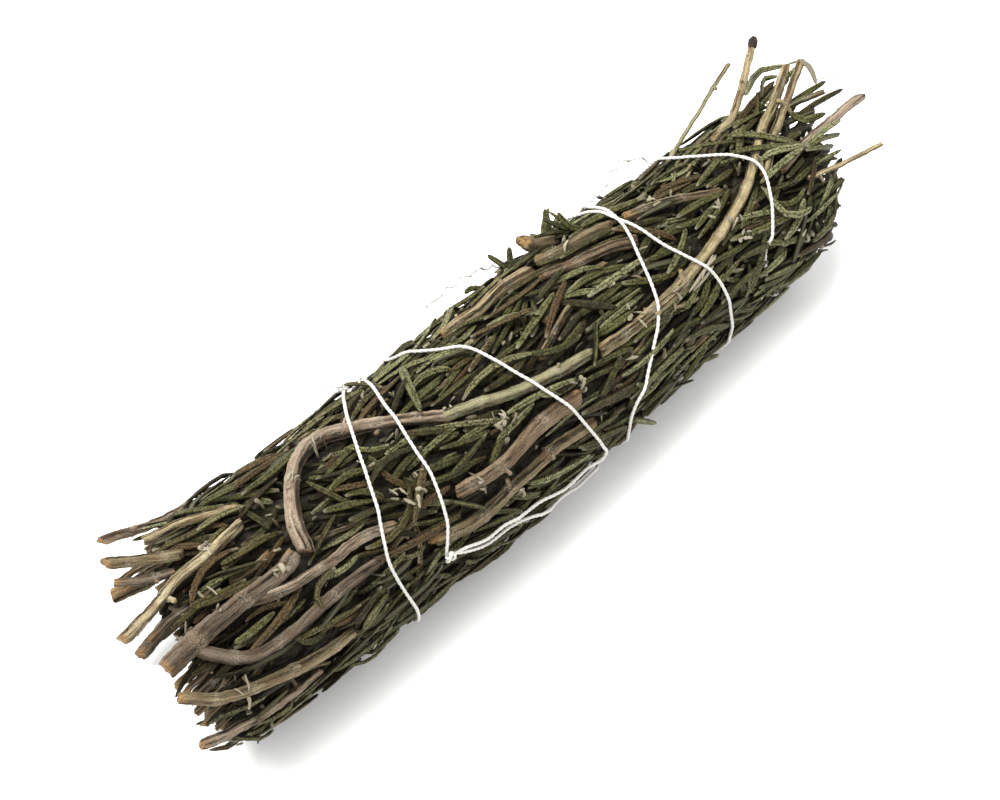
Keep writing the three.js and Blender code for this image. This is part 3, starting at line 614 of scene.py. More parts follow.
# Leaves that show clearly in the photograph, laid over the pile: width, how brown, how pale, and (x, angle)
# from foot to tip.
DRAWN_LEAVES = (
    (1.9, 0.1, 0.0, ((-20.5, 121), (-24, 103), (-28, 81))),
    (1.7, 0.95, 0.0, ((-67.5, 48.5), (-77.2, 42.7), (-83.5, 41.9))),
    (1.6, 0.5, 0.0, ((-61, 47), (-65.5, 45.8), (-67.6, 41), (-67, 36))),
    (1.7, 0.15, 0.0, ((63.7, 66.2), (62.2, 52), (64.2, 41), (70, 36.3))),
    (1.6, 0.2, 0.0, ((77, 69), (72, 88), (66.9, 108))),
    (1.7, 0.1, 0.0, ((76, 70), (70, 82), (63.8, 94.6))),
    (1.6, 0.15, 0.0, ((76, 70), (71, 76), (66.5, 81))),
    (1.6, 0.1, 0.0, ((75.5, 69), (69, 69.5), (63, 68))),
    (1.4, 0.1, 0.0, ((76.5, 69), (83, 71), (89, 71))),
    (1.4, 0.1, 0.0, ((76.5, 68), (84, 67), (90.5, 65.3))),
    (1.4, 0.2, 0.0, ((76, 67), (82, 62), (86.3, 60.1))),
    (0.9, 0.5, 0.9, ((34, 43), (38.5, 46.5), (43.5, 51.5))),
    (0.7, 0.3, 1.0, ((35.5, 41.5), (39, 43.5), (42, 46.5))),
    (0.6, 0.4, 1.0, ((38, 45), (40, 48.5), (45, 50))),
    (1.5, 0.3, 0.0, ((13.5, 20), (14.9, 14.8), (15.6, 8))),
    (1.8, 0.7, 0.0, ((-33.5, 60), (-38, 52), (-44, 40))),
)
DRAWN_HIGHEST = 1.6  # lift of what such a leaf lies on
TUFT_SCALES, TUFT_HIGHEST = 4, 2.6  # pale bud scales in a tuft, and how high they may stand
# Where such tufts show: (x, angle).
SCALE_TUFTS = (
    (51.5, 71), (51.6, 58), (51.9, 50), (66, 76.5), (20, 54), (67.5, 21.5), (-15.6, 52.5), (-17, 44.5),
    (-42.7, 56), (-39.3, 52.7), (-83, 70), (-91, 65), (-77, 92), (-84, 132), (-70, 61), (-22, 73), (2, 39),
    (-26, 33), (30, 48), (23, 115), (-57, 92), (-46, 103), (76, 71), (45, 99), (-20, 16), (-88, 24),
)
# Fine hairs and a dry piece of shoot: radius, finish and (x, angle, lift).
WISPS = (
    (0.08, "grey", ((-31, 137, 1.5), (-33, 141, 3.5), (-36, 145, 6))),
    (0.1, "pale", ((90.5, 97, 5.2), (95, 91, 5), (99, 88, 5))),
    (0.08, "pale", ((90.5, 96, 5), (94, 88, 4), (95, 83, 3))),
    (0.6, "green", ((81, 103, 0.4), (87.4, 97.4, 1.5), (91.5, 92.5, 2.2))),
)

# Short cut twigs that stand out of the near end: radius, finish and the cut end's (x, angle, lift).
END_TWIGS = (
    (0.9, "brown", (-96, 44, -6)), (0.7, "grey", (-96, 35, -3)), (0.75, "brown", (-96.5, 28, -3)),
    (0.6, "brown", (-96, 18, -3)), (0.7, "grey", (-96, 74, -2)), (0.8, "brown", (-96.5, 60, -3.5)),
    (0.6, "rust", (-92, 110, -3)), (0.6, "brown", (-90, 131, -5)), (0.6, "grey", (-93, 8, -4)),
    (0.8, "grey", (-94, 43, -6)), (0.7, "brown", (-91, 40, -9)), (0.8, "brown", (-91, 29, -9)),
    (0.7, "brown", (-94, 33, -6)), (0.6, "grey", (-96.5, 41, -3)),
    (0.8, "brown", (-90, 2, -9)), (0.7, "grey", (-91, -14, -6)), (0.9, "brown", (-89, 22, -12)),
    (0.7, "rust", (-91, 12, -6)), (0.8, "brown", (-89, -24, -9)), (0.7, "brown", (-90, -8, -12)),
    (0.8, "grey", (-89, 60, -12)), (0.7, "brown", (-88, -40, -7)), (0.8, "brown", (-88, 10, -15)),
)


def lay_drawn_leaves(pile, rng, settings):
    for width, dried, felt, route in DRAWN_LEAVES:
        flat = smooth_curve([(x, math.radians(angle) * MEAN_RADIUS, 0) for x, angle in route], 0.5)
        x, aside, _ = at_shares(flat, LEAF_STEPS).T
        look = leaf_look(rng, settings)
        look.update(width=width, felt=felt, roll=rng.normal(0, 0.2), tone=rng.uniform(0.5, 0.95))
        look.update(length=float(lengths_along(flat)[-1]), raised=0.5)
        turn = np.arctan2(np.gradient(aside), np.gradient(x))
        angle = np.degrees(aside / MEAN_RADIUS)
        heights = np.minimum(under_leaf(pile, look, x, angle, turn), DRAWN_HIGHEST)
        count = len(pile.leaves)
        settle_leaf(pile, look, x, angle, turn, heights)
        pile.leaves[count]["dried"] = dried
    for x, angle in SCALE_TUFTS:
        for _ in range(TUFT_SCALES):
            look = {**scrap_look(rng), "felt": rng.uniform(0.5, 1), "raised": rng.uniform(0, 0.9)}
            spot = (x + rng.normal(0, 0.8), angle + rng.normal(0, 2.4), rng.uniform(0, 2 * math.pi))
            lay_leaf(pile, rng, look, TUFT_HIGHEST, spot)
    for radius, finish, route in WISPS:
        pile.add_twig(places(route), radius, finish)
    for radius, finish, (x, angle, lift) in END_TWIGS:
        inward = ((x, angle, lift), (x + 6, angle + 1.5, lift - 0.3), (x + 15, angle + 2, lift - 1.5))
        pile.add_twig(places(inward), radius, finish)


# Leaves that stand well clear of the bundle: foot, belly and tip, each (x, angle, lift).
STRAY_LEAVES = (
    ((31, 128, -3.1), (27, 129, 0.5), (24, 131, 4.5)),
    ((33, 133, -3.1), (29, 133, 0.4), (27, 135, 4.5)),
    ((30, 131, -2.5), (25, 130, 0.8), (20, 130, 2.6)),
    ((31, 125, -2.5), (27, 124, 1.2), (26, 124, 4.8)),
    ((27, 134, -2.5), (25, 135, 1.0), (27, 137, 5.2)),
    ((9, 0, -3.1), (13, -8.5, 0), (17.5, -18, 2.5)),
    ((-70, 137, -3.1), (-76, 133, -0.8), (-81, 129, 1.4)),
    ((74, 112, -3.1), (79, 116, 0), (82, 122, 3)),
    ((72, 122, -2), (80, 121, 1.5), (86, 117, 4.2)),
    ((76, 118, -2), (84, 118, 1.8), (92, 112, 5.6)),
    ((78, 126, -2), (85, 124, 0.8), (91, 121, 2.4)),
    ((80, 108, -2), (88, 104, 0.6), (94, 98, 2.2)),
    ((82, 96, -2), (89, 92, 0.6), (95, 86, 2.0)),
    ((92, 122, 5.0), (88.5, 132, 5.8), (77.3, 117, 4.4)),
    ((87.5, 118, 4.8), (85.5, 124, 4.6), (81, 115, 2.8)),
    ((82.5, 96.8, 0.5), (81.6, 84, 1.6), (86, 78, 3.2)),
    ((22.5, 140, -2.5), (25.5, 142, 2), (29.5, 144, 4.5)),
    ((25.5, 140, -2.5), (28, 142, 0.75), (30.5, 144, 2.2)),
    ((26, 139, -2.5), (24, 142, 0.25), (22.5, 144, 2.5)),
    ((12.5, 140, -3), (15, 142, 0.5), (17, 144, 2.8)),
    ((14.5, 140, -3), (13, 142, 1.2), (12, 144, 4.2)),
    ((7, 139, -1), (4.5, 142, 1.3), (3, 144, 1.2)),
    ((18, 139, -2), (15, 142, 0.4), (12.5, 144, 0.7)),
    ((-37, -21, -1.5), (-29.5, -28, 0.6), (-22.5, -30, 0.5)),
    ((-34, -21, -1.5), (-25.5, -28, 0.8), (-18.5, -30, 0.2)),
    ((-23, -21, -1.5), (-15.5, -28, 0.5), (-10, -30, 1)),
    ((-66, -20, -1.5), (-59, -28, 1), (-54, -30, 0.7)),
    ((-33, -16, -2.5), (-26, -18, -0.6), (-20, -15, -1.4)),
    ((-27, -12, -2.5), (-20, -14, -0.6), (-14, -12, -1.4)),
    ((-36, -10, -2.5), (-28, -13, -0.8), (-22, -10, -1.4)),
)
SEEN_FROM = 62  # degrees round the bundle: the side that the stray leaves turn their faces to
TURNED = 0.4  # how much of its own angle's direction such a leaf keeps
# The curled dry leaf at the tip of the long stem.
CURLED_LEAF = ((92, 121, 5.3), (93.4, 112, 5.9), (92, 103, 5.4), (90, 95, 4.8))


def lay_stray_leaves(pile, rng, settings):
    for stray in STRAY_LEAVES:
        look = leaf_look(rng, settings)
        look["roll"] = rng.normal(0, 0.5)
        line = smooth_curve(places(stray), 0.5)
        points = at_shares(line, LEAF_STATIONS)
        facing = SEEN_FROM + TURNED * (stray[1][1] - SEEN_FROM)
        add_guide(pile, look, points, outward(np.full(len(points), facing)))
    look = {**leaf_look(rng, settings), "width": 1.3, "felt": 0.45, "dried": 0.6, "twist": 1.4}
    add_guide(pile, look, at_shares(smooth_curve(places(CURLED_LEAF), 0.5), LEAF_STATIONS), outward(110.0))


WHORLS = 90
LAST_LEAVES = 450
# How high the pile may get, as a lift off the skin: the deep leaves, the scraps and the last leaves, and from
# the first to the last of the twigs, the whorls and the other leaves.
DEEP_LIMIT, SCRAP_LIMIT, LAST_LIMIT = -1.9, 0.7, 0.85
TWIG_LIMITS, WHORL_LIMITS, LEAF_LIMITS = (-1.0, 1.2), (-0.9, 1.1), (-1.3, 1.9)  # the first, and the rise

_laid = {}


def laid_pile(settings):
    """The whole pile, laid once: deep leaves, bare stems, the leaves round them, and a few over them."""
    if "pile" in _laid:
        return _laid["pile"]
    rng = np.random.default_rng(PILE_SEED)
    pile = Pile()
    deep = settings.leaf_count // 4
    for _ in range(deep):
        # Painted shade: the deep leaves laid first get the darkest tones.
        lay_leaf(pile, rng, {**leaf_look(rng, settings), "tone": rng.uniform(0, 0.3)}, DEEP_LIMIT)
    for _, radii, _, route in BARE_STEMS:
        path = smooth_curve(places(route), 0.4)
        pile.add_bar(path, np.linspace(radii[0], radii[1], len(path)))

    def rising(limits, count):
        return (limits[0] + limits[1] * i / count for i in range(count))

    for limit in rising(TWIG_LIMITS, settings.twig_count):
        lay_leaf(pile, rng, twig_look(rng), limit)
    for limit in rising(WHORL_LIMITS, WHORLS):
        lay_whorl(pile, rng, settings, limit)
    for limit in rising(LEAF_LIMITS, settings.leaf_count - deep):
        lay_leaf(pile, rng, leaf_look(rng, settings), limit)
    for _ in range(settings.scrap_count):
        lay_leaf(pile, rng, scrap_look(rng), SCRAP_LIMIT)
    for _ in range(LAST_LEAVES):
        lay_leaf(pile, rng, leaf_look(rng, settings), LAST_LIMIT)
    lay_drawn_leaves(pile, rng, settings)
    lay_end_leaves(pile, rng, settings)
    lay_stray_leaves(pile, rng, settings)
    _laid["pile"] = pile
    return pile


# Meshes


def linked(name, data):
    thing = bpy.data.objects.new(name, data)
    bpy.context.scene.collection.objects.link(thing)
    return thing


def add_attribute(mesh, name, values):
    values = np.asarray(values, np.float32)
    vector = values.ndim == 2
    layer = mesh.attributes.new(name, "FLOAT_VECTOR" if vector else "FLOAT", "POINT")
    layer.data.foreach_set("vector" if vector else "value", values.ravel())


def tube(path, radii, slant=(0.0, 0.0)):
    """Rings of corners along a path, closed by a fan at each end. radii has a row for each ring."""
    tangents, normals = frames_along(path)
    across = np.cross(tangents, normals)
    rings, sides = radii.shape
    turn = 2 * math.pi * np.arange(sides) / sides
    round_ = normals[:, None] * np.cos(turn)[None, :, None] + across[:, None] * np.sin(turn)[None, :, None]
    corners = path[:, None] + round_ * radii[:, :, None]
    for end, amount in zip((0, -1), slant):
        corners[end] += tangents[end] * (amount * radii[end] * np.cos(turn))[:, None]
    ends = np.stack([corners[0].mean(axis=0), corners[-1].mean(axis=0)])
    points = np.vstack([corners.reshape(-1, 3), ends])
    ring = np.arange(rings - 1)[:, None] * sides
    here = ring + np.arange(sides)[None, :]
    beside = ring + (np.arange(sides)[None, :] + 1) % sides
    quads = np.stack([here, beside, beside + sides, here + sides], axis=-1).reshape(-1, 4)
    first, last = rings * sides, rings * sides + 1
    faces = [tuple(int(v) for v in quad) for quad in quads]
    for side in range(sides):
        after = (side + 1) % sides
        faces.append((first, after, side))
        faces.append((last, (rings - 1) * sides + side, (rings - 1) * sides + after))
    along = np.repeat(lengths_along(path)[:, None], sides, axis=1)
    grain = np.stack([radii * np.cos(turn), radii * np.sin(turn), along], axis=-1).reshape(-1, 3)
    grain = np.vstack([grain, [[0, 0, 0], [0, 0, along[-1, 0]]]])
    return points, faces, grain


def sweep_tree(name, up_name, size_name):
    """Geometry nodes that sweep a section along guide lines, at each point's own size and turn."""
    tree = bpy.data.node_groups.new(name, "GeometryNodeTree")
    inputs = {"Guides": "Geometry", "Section": "Object", "Width": "Float", "Finish": "Material"}
    for label, kind in inputs.items():
        tree.interface.new_socket(label, in_out="INPUT", socket_type="NodeSocket" + kind)
    tree.interface.new_socket("Geometry", in_out="OUTPUT", socket_type="NodeSocketGeometry")
    given = add_node(tree, "NodeGroupInput").outputs
    up, size = (
        add_node(tree, "GeometryNodeInputNamedAttribute", {"Name": value}, data_type=kind).outputs[0]
        for value, kind in ((up_name, "FLOAT_VECTOR"), (size_name, "FLOAT"))
    )
    width = add_node(tree, "ShaderNodeMath", {0: size, 1: given["Width"]}, operation="MULTIPLY").outputs[0]
    lines = add_node(tree, "GeometryNodeMeshToCurve", {"Mesh": given["Guides"]}).outputs[0]
    turned = add_node(tree, "GeometryNodeSetCurveNormal", {"Curve": lines, "Normal": up}, mode="FREE")
    section = add_node(tree, "GeometryNodeObjectInfo", {"Object": given["Section"]}).outputs["Geometry"]
    outline = add_node(tree, "GeometryNodeMeshToCurve", {"Mesh": section}).outputs[0]
    course = {"Curve": turned.outputs[0], "Profile Curve": outline, "Scale": width, "Fill Caps": True}
    swept = add_node(tree, "GeometryNodeCurveToMesh", course).outputs[0]
    shaded = add_node(tree, "GeometryNodeSetShadeSmooth", {"Geometry": swept}).outputs[0]
    real = add_node(tree, "GeometryNodeRealizeInstances", {"Geometry": shaded}).outputs[0]
    finished = add_node(tree, "GeometryNodeSetMaterial", {"Geometry": real, "Material": given["Finish"]})
    add_node(tree, "NodeGroupOutput", {0: finished.outputs[0]})
    return tree


def press_on_ground(mesh):
    corners = np.empty(3 * len(mesh.vertices), np.float32)
    mesh.vertices.foreach_get("co", corners)
    corners[2::3] = np.maximum(corners[2::3], GROUND_GAP * MM)
    mesh.vertices.foreach_set("co", corners)


def swept_piece(name, guides, section, tree, material):
    """Runs the sweep on a guide mesh and keeps its result as a plain mesh."""
    carrier = linked(name, guides)
    modifier = carrier.modifiers.new("Sweep", "NODES")
    modifier.node_group = tree
    given = {"Section": section, "Width": MM, "Finish": material}
    for item in tree.interface.items_tree:
        if item.name in given and item.in_out == "INPUT":
            modifier[item.identifier] = given[item.name]
    made = bpy.data.meshes.new_from_object(carrier.evaluated_get(bpy.context.evaluated_depsgraph_get()))
    carrier.modifiers.clear()
    carrier.data = made
    made.name = name
    press_on_ground(made)
    bpy.data.meshes.remove(guides)
    return carrier


def section_object(name, corners, attribute=None):
    """A closed outline for a sweep, in the sweep's own across and up."""
    mesh = bpy.data.meshes.new(name)
    count = len(corners)
    edges = [(i, (i + 1) % count) for i in range(count)]
    mesh.from_pydata([(float(u), float(v), 0.0) for u, v in corners], edges, [])
    if attribute:
        add_attribute(mesh, attribute[0], attribute[1])
    return linked(name, mesh)


def guide_mesh(name, lines, values):
    """One mesh of separate lines, in metres, with an attribute for each of the named values."""
    mesh = bpy.data.meshes.new(name)
    points = np.vstack(lines) * MM
    edges = []
    start = 0
    for line in lines:
        edges.extend((start + i, start + i + 1) for i in range(len(line) - 1))
        start += len(line)
    mesh.from_pydata(points.tolist(), edges, [])
    for key, value in values.items():
        add_attribute(mesh, key, value)
    return mesh


# Colours and materials


def linear(code):
    """An sRGB hex colour as the linear one that a shader takes."""
    parts = [int(code[i : i + 2], 16) / 255 for i in (1, 3, 5)]
    return tuple(p / 12.92 if p <= 0.04045 else ((p + 0.055) / 1.055) ** 2.4 for p in parts) + (1.0,)


def add_node(tree, kind, inputs=None, stops=None, **settings):
    """A node with its settings, its values and its links. stops are a colour ramp's places and colours."""
    node = tree.nodes.new("ShaderNode" + kind if tree.type == "SHADER" else kind)
    for key, value in settings.items():
        setattr(node, key, value)
    for key, value in (inputs or {}).items():
        if isinstance(value, bpy.types.NodeSocket):
            tree.links.new(value, node.inputs[key])
        else:
            node.inputs[key].default_value = value
    for i, (place, colour) in enumerate(stops or ()):
        ramp = node.color_ramp.elements
        element = ramp[i] if i < 2 else ramp.new(place)
        element.position = place
        element.color = colour
    return node


def grey(level):
    return (level, level, level, 1.0)


# In the materials below, a mix node's input 0 is its share, 2 and 3 are its values, and 6 and 7 its colours.
# A map range node's inputs are its value, the range that it comes from and the range that it goes to.
NOISE_INPUTS = ("Vector", "Scale", "Detail", "Roughness")


def new_material(name):
    material = bpy.data.materials.new(name)
    material.use_nodes = True
    material.node_tree.nodes.clear()
    return material, material.node_tree


def finish_surface(tree, colour, roughness, relief, depth, sheen=0.0, specular=0.5):
    """The surface itself, with its relief pressed in to a depth in millimetres."""
    bump = add_node(tree, "Bump", {"Height": relief, "Distance": depth * MM, "Strength": 1.0})
    surface = add_node(
        tree,
        "BsdfPrincipled",
        {
            "Base Color": colour,
            "Roughness": roughness,
            "Normal": bump.outputs[0],
            "Sheen Weight": sheen,
            "Specular IOR Level": specular,
        },
    )
    add_node(tree, "OutputMaterial", {"Surface": surface.outputs[0]})


LEAF_MOTTLE, LEAF_PITS = 1.5, 0.36  # millimetres
LEAF_BUMP = 0.42


def dried_leaf(settings):
    """Dried rosemary leaf: a leathery, finely pitted upper side, a pale foot and a felted underside."""
    # Dry and leathery: dull, with hardly a glint, and rough to the eye from its pits.
    material, tree = new_material("dried_rosemary_leaf")
    spot = add_node(tree, "TexCoord").outputs["Object"]
    tone, dried, face, felt, along, deep = (
        add_node(tree, "Attribute", attribute_name="leaf_" + name).outputs["Fac"]
        for name in ("tone", "dried", "face", "felt", "along", "deep")
    )
    mottle, pits = (
        add_node(tree, "TexNoise", dict(zip(NOISE_INPUTS, (spot, 1 / (size * MM), 3.0, rough)))).outputs[0]
        for size, rough in ((LEAF_MOTTLE, 0.5), (LEAF_PITS, 0.6))
    )
    shade = add_node(tree, "Mix", {0: 0.45, 2: tone, 3: mottle}).outputs[0]
    stops = (
        (0.22, tuple(settings.shaded_green)),
        (0.78, tuple(settings.light_green)),
        (0.5, tuple(settings.leaf_green)),
    )
    green = add_node(tree, "ValToRGB", {"Fac": shade}, stops).outputs["Color"]
    aged = add_node(
        tree, "Mix", {0: dried, 6: green, 7: tuple(settings.dried_brown)}, data_type="RGBA"
    ).outputs[2]
    # Painted light and shade: the crown of a leaf is painted pale between its pits, as if lit, and its pits,
    # its groove and its rolled edges are painted darker, as shade.
    stops = ((0.0, grey(0.0)), (1.0, grey(0.3)), (0.3, grey(0.06)), (0.52, grey(1.0)), (0.72, grey(0.9)))
    section_light_and_shade = add_node(tree, "ValToRGB", {"Fac": face}, stops).outputs["Color"]
    relief_shade, underneath, foot, painted_depth_shade = (
        add_node(tree, "MapRange", dict(enumerate(row))).outputs[0]
        for row in (
            (pits, 0.4, 0.52, 0.02, 1.0),
            (face, 0.02, 0.14, 0.8, 0.0),
            (along, 0.02, 0.1, 0.35, 0.0),
            (deep, 0.0, 1.0, 0.0, 0.92),
        )
    )
    light = add_node(tree, "Math", {0: section_light_and_shade, 1: relief_shade}, operation="MULTIPLY").outputs[0]
    pale = add_node(tree, "Math", {0: foot, 1: felt}, operation="MAXIMUM").outputs[0]
    # Over the painted shade of its pits, groove and edges: the upper side, the felted underside, the pale
    # foot and the painted shade deep down.
    colour = tuple(settings.shaded_green)
    for share, over in (
        (light, aged),
        (underneath, tuple(settings.underside)),
        (pale, tuple(settings.felt_colour)),
        (painted_depth_shade, tuple(settings.shaded_green)),
    ):
        colour = add_node(tree, "Mix", {0: share, 6: colour, 7: over}, data_type="RGBA").outputs[2]
    finish_surface(tree, colour, 0.6, pits, LEAF_BUMP, specular=0.18)
    return material


MASS_CRUMBS, MASS_BUMP = 1.3, 1.2  # millimetres


def packed_leaves():
    """The mass of leaves and crumbs deep between the leaves that show: painted near black as shade, and
    without a glint.
    """
    material, tree = new_material("packed_leaf_mass")
    spot = add_node(tree, "TexCoord").outputs["Object"]
    pattern = {"Vector": spot, "Scale": 1 / (MASS_CRUMBS * MM), "Detail": 4.0}
    crumbs = add_node(tree, "TexNoise", pattern).outputs[0]
    # Painted shade: the leaves deep in the bundle, which light hardly reaches, are coloured near black.
    stops = ((0.35, linear("#0e0d08")), (0.75, linear("#3a3420")))
    colour = add_node(tree, "ValToRGB", {"Fac": crumbs}, stops).outputs["Color"]
    finish_surface(tree, colour, 0.9, crumbs, MASS_BUMP)
    return material


BARK_FIBRES, BARK_SPECKS, BARK_PATCHES = 2.0, 3.4, 0.3  # how many in a millimetre: 0.5, 0.3 and 3.3 mm each
BARK_STRETCH = 0.08  # how slowly the fibres change along the stem
BARK_BUMP = 0.6


def bark(settings, finish):
    """Bark of a woody herb stem: fibres along the stem, flakes and specks, and bare wood where it is cut."""
    # Dry and fibrous: matt, and furrowed by its long fibres.
    material, tree = new_material(finish + "_bark")
    grain = add_node(tree, "Attribute", attribute_name="bark_grain").outputs["Vector"]
    cut, ridge, knot = (
        add_node(tree, "Attribute", attribute_name="bark_" + name).outputs["Fac"]
        for name in ("cut", "ridge", "knot")
    )
    long_way = add_node(tree, "Mapping", {"Vector": grain, "Scale": (1.0, 1.0, BARK_STRETCH)})
    fibres, specks, patches = (
        add_node(tree, "TexNoise", dict(zip(NOISE_INPUTS, row))).outputs[0]
        for row in (
            (long_way.outputs[0], BARK_FIBRES, 7.0, 0.72),
            (grain, BARK_SPECKS, 4.0, 0.5),
            (grain, BARK_PATCHES, 2.0, 0.5),
        )
    )
    body = tuple(getattr(settings, finish + "_bark"))
    dark = tuple(c * 0.1 for c in body[:3]) + (1.0,)
    pale = tuple(min(1.0, c * 2.0 + 0.03) for c in body[:3]) + (1.0,)
    # Partly painted light and shade: the bark's own lengthwise streaks are painted darker in the hollows of
    # its fibres and between its ridges, and paler on the ridges.
    relief_shade = add_node(tree, "Mix", {0: 0.3, 2: fibres, 3: ridge}).outputs[0]
    flaked, marks, lichen, rings = (
        add_node(tree, "MapRange", dict(enumerate(row))).outputs[0]
        for row in (
            (patches, 0.5, 0.68, 0.0, 0.6),
            (specks, 0.34, 0.44, 0.5, 0.0),
            (specks, 0.44, 0.64, 0.0, 0.45),
            (fibres, 0.36, 0.54, 0.1, 1.0),
        )
    )
    scarred = add_node(tree, "Math", {0: knot, 1: lichen}, operation="MULTIPLY").outputs[0]
    wood = add_node(
        tree, "Mix", {0: rings, 6: linear("#33231a"), 7: tuple(settings.wood_colour)}, data_type="RGBA"
    ).outputs[2]
    # Over the streaks of the bark, with their painted shade and light: the inner bark where it has flaked,
    # specks, felted scars and cut wood.
    stops = ((0.4, dark), (0.6, pale), (0.47, body))
    colour = add_node(tree, "ValToRGB", {"Fac": relief_shade}, stops).outputs["Color"]
    for share, over in (
        (flaked, tuple(settings.inner_bark)),
        (marks, linear("#17120c")),
        (scarred, tuple(settings.felt_bark)),
        (cut, wood),
    ):
        colour = add_node(tree, "Mix", {0: share, 6: colour, 7: over}, data_type="RGBA").outputs[2]
    finish_surface(tree, colour, 0.78, fibres, BARK_BUMP, specular=0.18)
    return material


COTTON_FIBRES, COTTON_BUMP = 0.2, 0.08  # millimetres: real fibres are too fine to show, so these are coarser


def cotton(settings):
    """Undyed cotton thread: soft white fibres with a faint bloom."""
    material, tree = new_material("white_cotton_thread")
    spot = add_node(tree, "TexCoord").outputs["Object"]
    pattern = {"Vector": spot, "Scale": 1 / (COTTON_FIBRES * MM), "Detail": 3.0}
    fibres = add_node(tree, "TexNoise", pattern).outputs[0]
    stops = ((0.3, linear("#d2cec4")), (0.62, tuple(settings.thread_colour)))
    colour = add_node(tree, "ValToRGB", {"Fac": fibres}, stops).outputs["Color"]
    finish_surface(tree, colour, 0.9, fibres, COTTON_BUMP, sheen=0.3, specular=0.2)
    return material


def matt_backdrop(settings):
    """Plain white paper under the bundle."""
    material, tree = new_material("white_backdrop")
    surface = add_node(
        tree,
        "BsdfPrincipled",
        {"Base Color": tuple(settings.floor_colour), "Roughness": 0.9, "Specular IOR Level": 0.1},
    )
    add_node(tree, "OutputMaterial", {"Surface": surface.outputs[0]})
    return material


# Settings


def size_property(label, text, millimetres):
    return FloatProperty(
        name=label, description=text, default=millimetres * MM, min=0.0, subtype="DISTANCE", unit="LENGTH"
    )


def colour_property(label, text, code):
    return FloatVectorProperty(
        name=label, description=text, default=linear(code), size=4, min=0.0, max=1.0, subtype="COLOR"
    )


class LeafSettings(bpy.types.PropertyGroup):
    """The dried leaves."""

    leaf_width: size_property("Leaf width", "Width of a dried leaf at its middle", 1.5)
    shortest_leaf: size_property("Shortest leaf", "Length of the shortest leaves", 8)
    longest_leaf: size_property("Longest leaf", "Length of the longest leaves", 17)
    leaf_count: IntProperty(name="Leaves", description="Most leaves in the pile", default=5600, min=100)
    twig_count: IntProperty(name="Twigs", description="Most twig pieces in the pile", default=120, min=0)
    scrap_count: IntProperty(name="Scraps", description="Most pale scraps in the pile", default=240, min=0)
    leaf_green: colour_property("Leaf green", "The upper side of most leaves", "#56572c")
    light_green: colour_property("Light green", "The palest leaves", "#94946b")
    # Painted shade: this near-black green darkens grooves, pits and the deepest leaves, and is also the
    # darkest of the leaves' own tones.
    shaded_green: colour_property("Shaded green", "Grooves, pits and the deepest leaves", "#110e03")
    dried_brown: colour_property("Dried brown", "Leaves that dried brown", "#533f23")
    felt_colour: colour_property("Felt", "The leaves' feet and the bud scales", "#99917c")
    underside: colour_property("Underside", "The felted underside of the leaves", "#514f38")


# Each finish of bark: what has it, and its colour.
BARKS = {
    "pale": ("Bark of young twigs", "#7d6f51"),
    "bleached": ("Bark of the palest twigs", "#877a5e"),
    "green": ("Bark of green shoots", "#635f44"),
    "brown": ("Bark of brown stems", "#584c34"),
    "tan": ("Bark of the long shoots", "#766a4c"),
    "rust": ("Bark of reddish stems", "#564733"),
    "grey": ("Bark of old stems", "#483d2f"),
    "silver": ("Bark of weathered stems", "#6f6150"),
    "seed": ("The dried bud at a twig's tip", "#1d150d"),
}


class StemSettings(bpy.types.PropertyGroup):
    """The woody stems."""

    ring_step: size_property("Ring step", "Distance between the rings of a stem's mesh", 0.6)
    node_gap: size_property("Node gap", "Usual distance between the nodes of a stem", 11)
    inner_bark: colour_property("Inner bark", "Where the outer bark has flaked", "#614b37")
    felt_bark: colour_property("Scar felt", "Pale felt round the leaf scars", "#aaa18e")
    wood_colour: colour_property("Cut wood", "Wood where a stem is cut or broken", "#a57f50")


for finish, (text, code) in BARKS.items():
    label = finish.capitalize() + " bark"
    StemSettings.__annotations__[finish + "_bark"] = colour_property(label, text, code)


class ThreadSettings(bpy.types.PropertyGroup):
    """The cotton thread."""

    thread_width: size_property("Thread width", "Diameter of the thread", 0.74)
    twist_pitch: size_property("Twist pitch", "Length of one turn of the plies", 2.3)
    thread_colour: colour_property("Thread", "Colour of the cotton", "#c6c4be")


class StageSettings(bpy.types.PropertyGroup):
    """The backdrop, the lights and the camera."""

    floor_colour: colour_property("Floor", "Colour of the backdrop", "#fdfdfd")
    sky_strength: FloatProperty(
        name="Sky", description="Strength of the light all round", default=1.24, min=0.0
    )
    key_power: FloatProperty(
        name="Key light", description="Power of the large lamp", default=16.2, min=0.0, unit="POWER"
    )


def settings_of(context):
    return context.scene.bundle_leaves, context.scene.bundle_stems, context.scene.bundle_thread


# Pieces


def finish_piece(piece, slot, *nodes):
    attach(piece, "root")
    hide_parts(*nodes)


def sprig_name(index, before="leafy_", after=""):
    return f"{before}sprig_{index + 1:02}{after}"


# A leaf's section: its rolled edges, its rounded crown with a groove, and its hollow felted underside.
# Each corner is (up, across) as a share of the leaf's width, with its place from the underside, 0, over the
# edge, 0.3, and the crown, 0.6, to the groove, 1.
HALF_SECTION = ((0.28, 0.2, 0.6), (0.15, 0.42, 0.5), (-0.08, 0.5, 0.25), (-0.18, 0.3, 0.05))
OTHER_HALF = tuple((up, -across, face) for up, across, face in reversed(HALF_SECTION))
LEAF_SECTION = ((0.235, 0.0, 1.0), *HALF_SECTION, (-0.05, 0.0, 0.0), *OTHER_HALF)


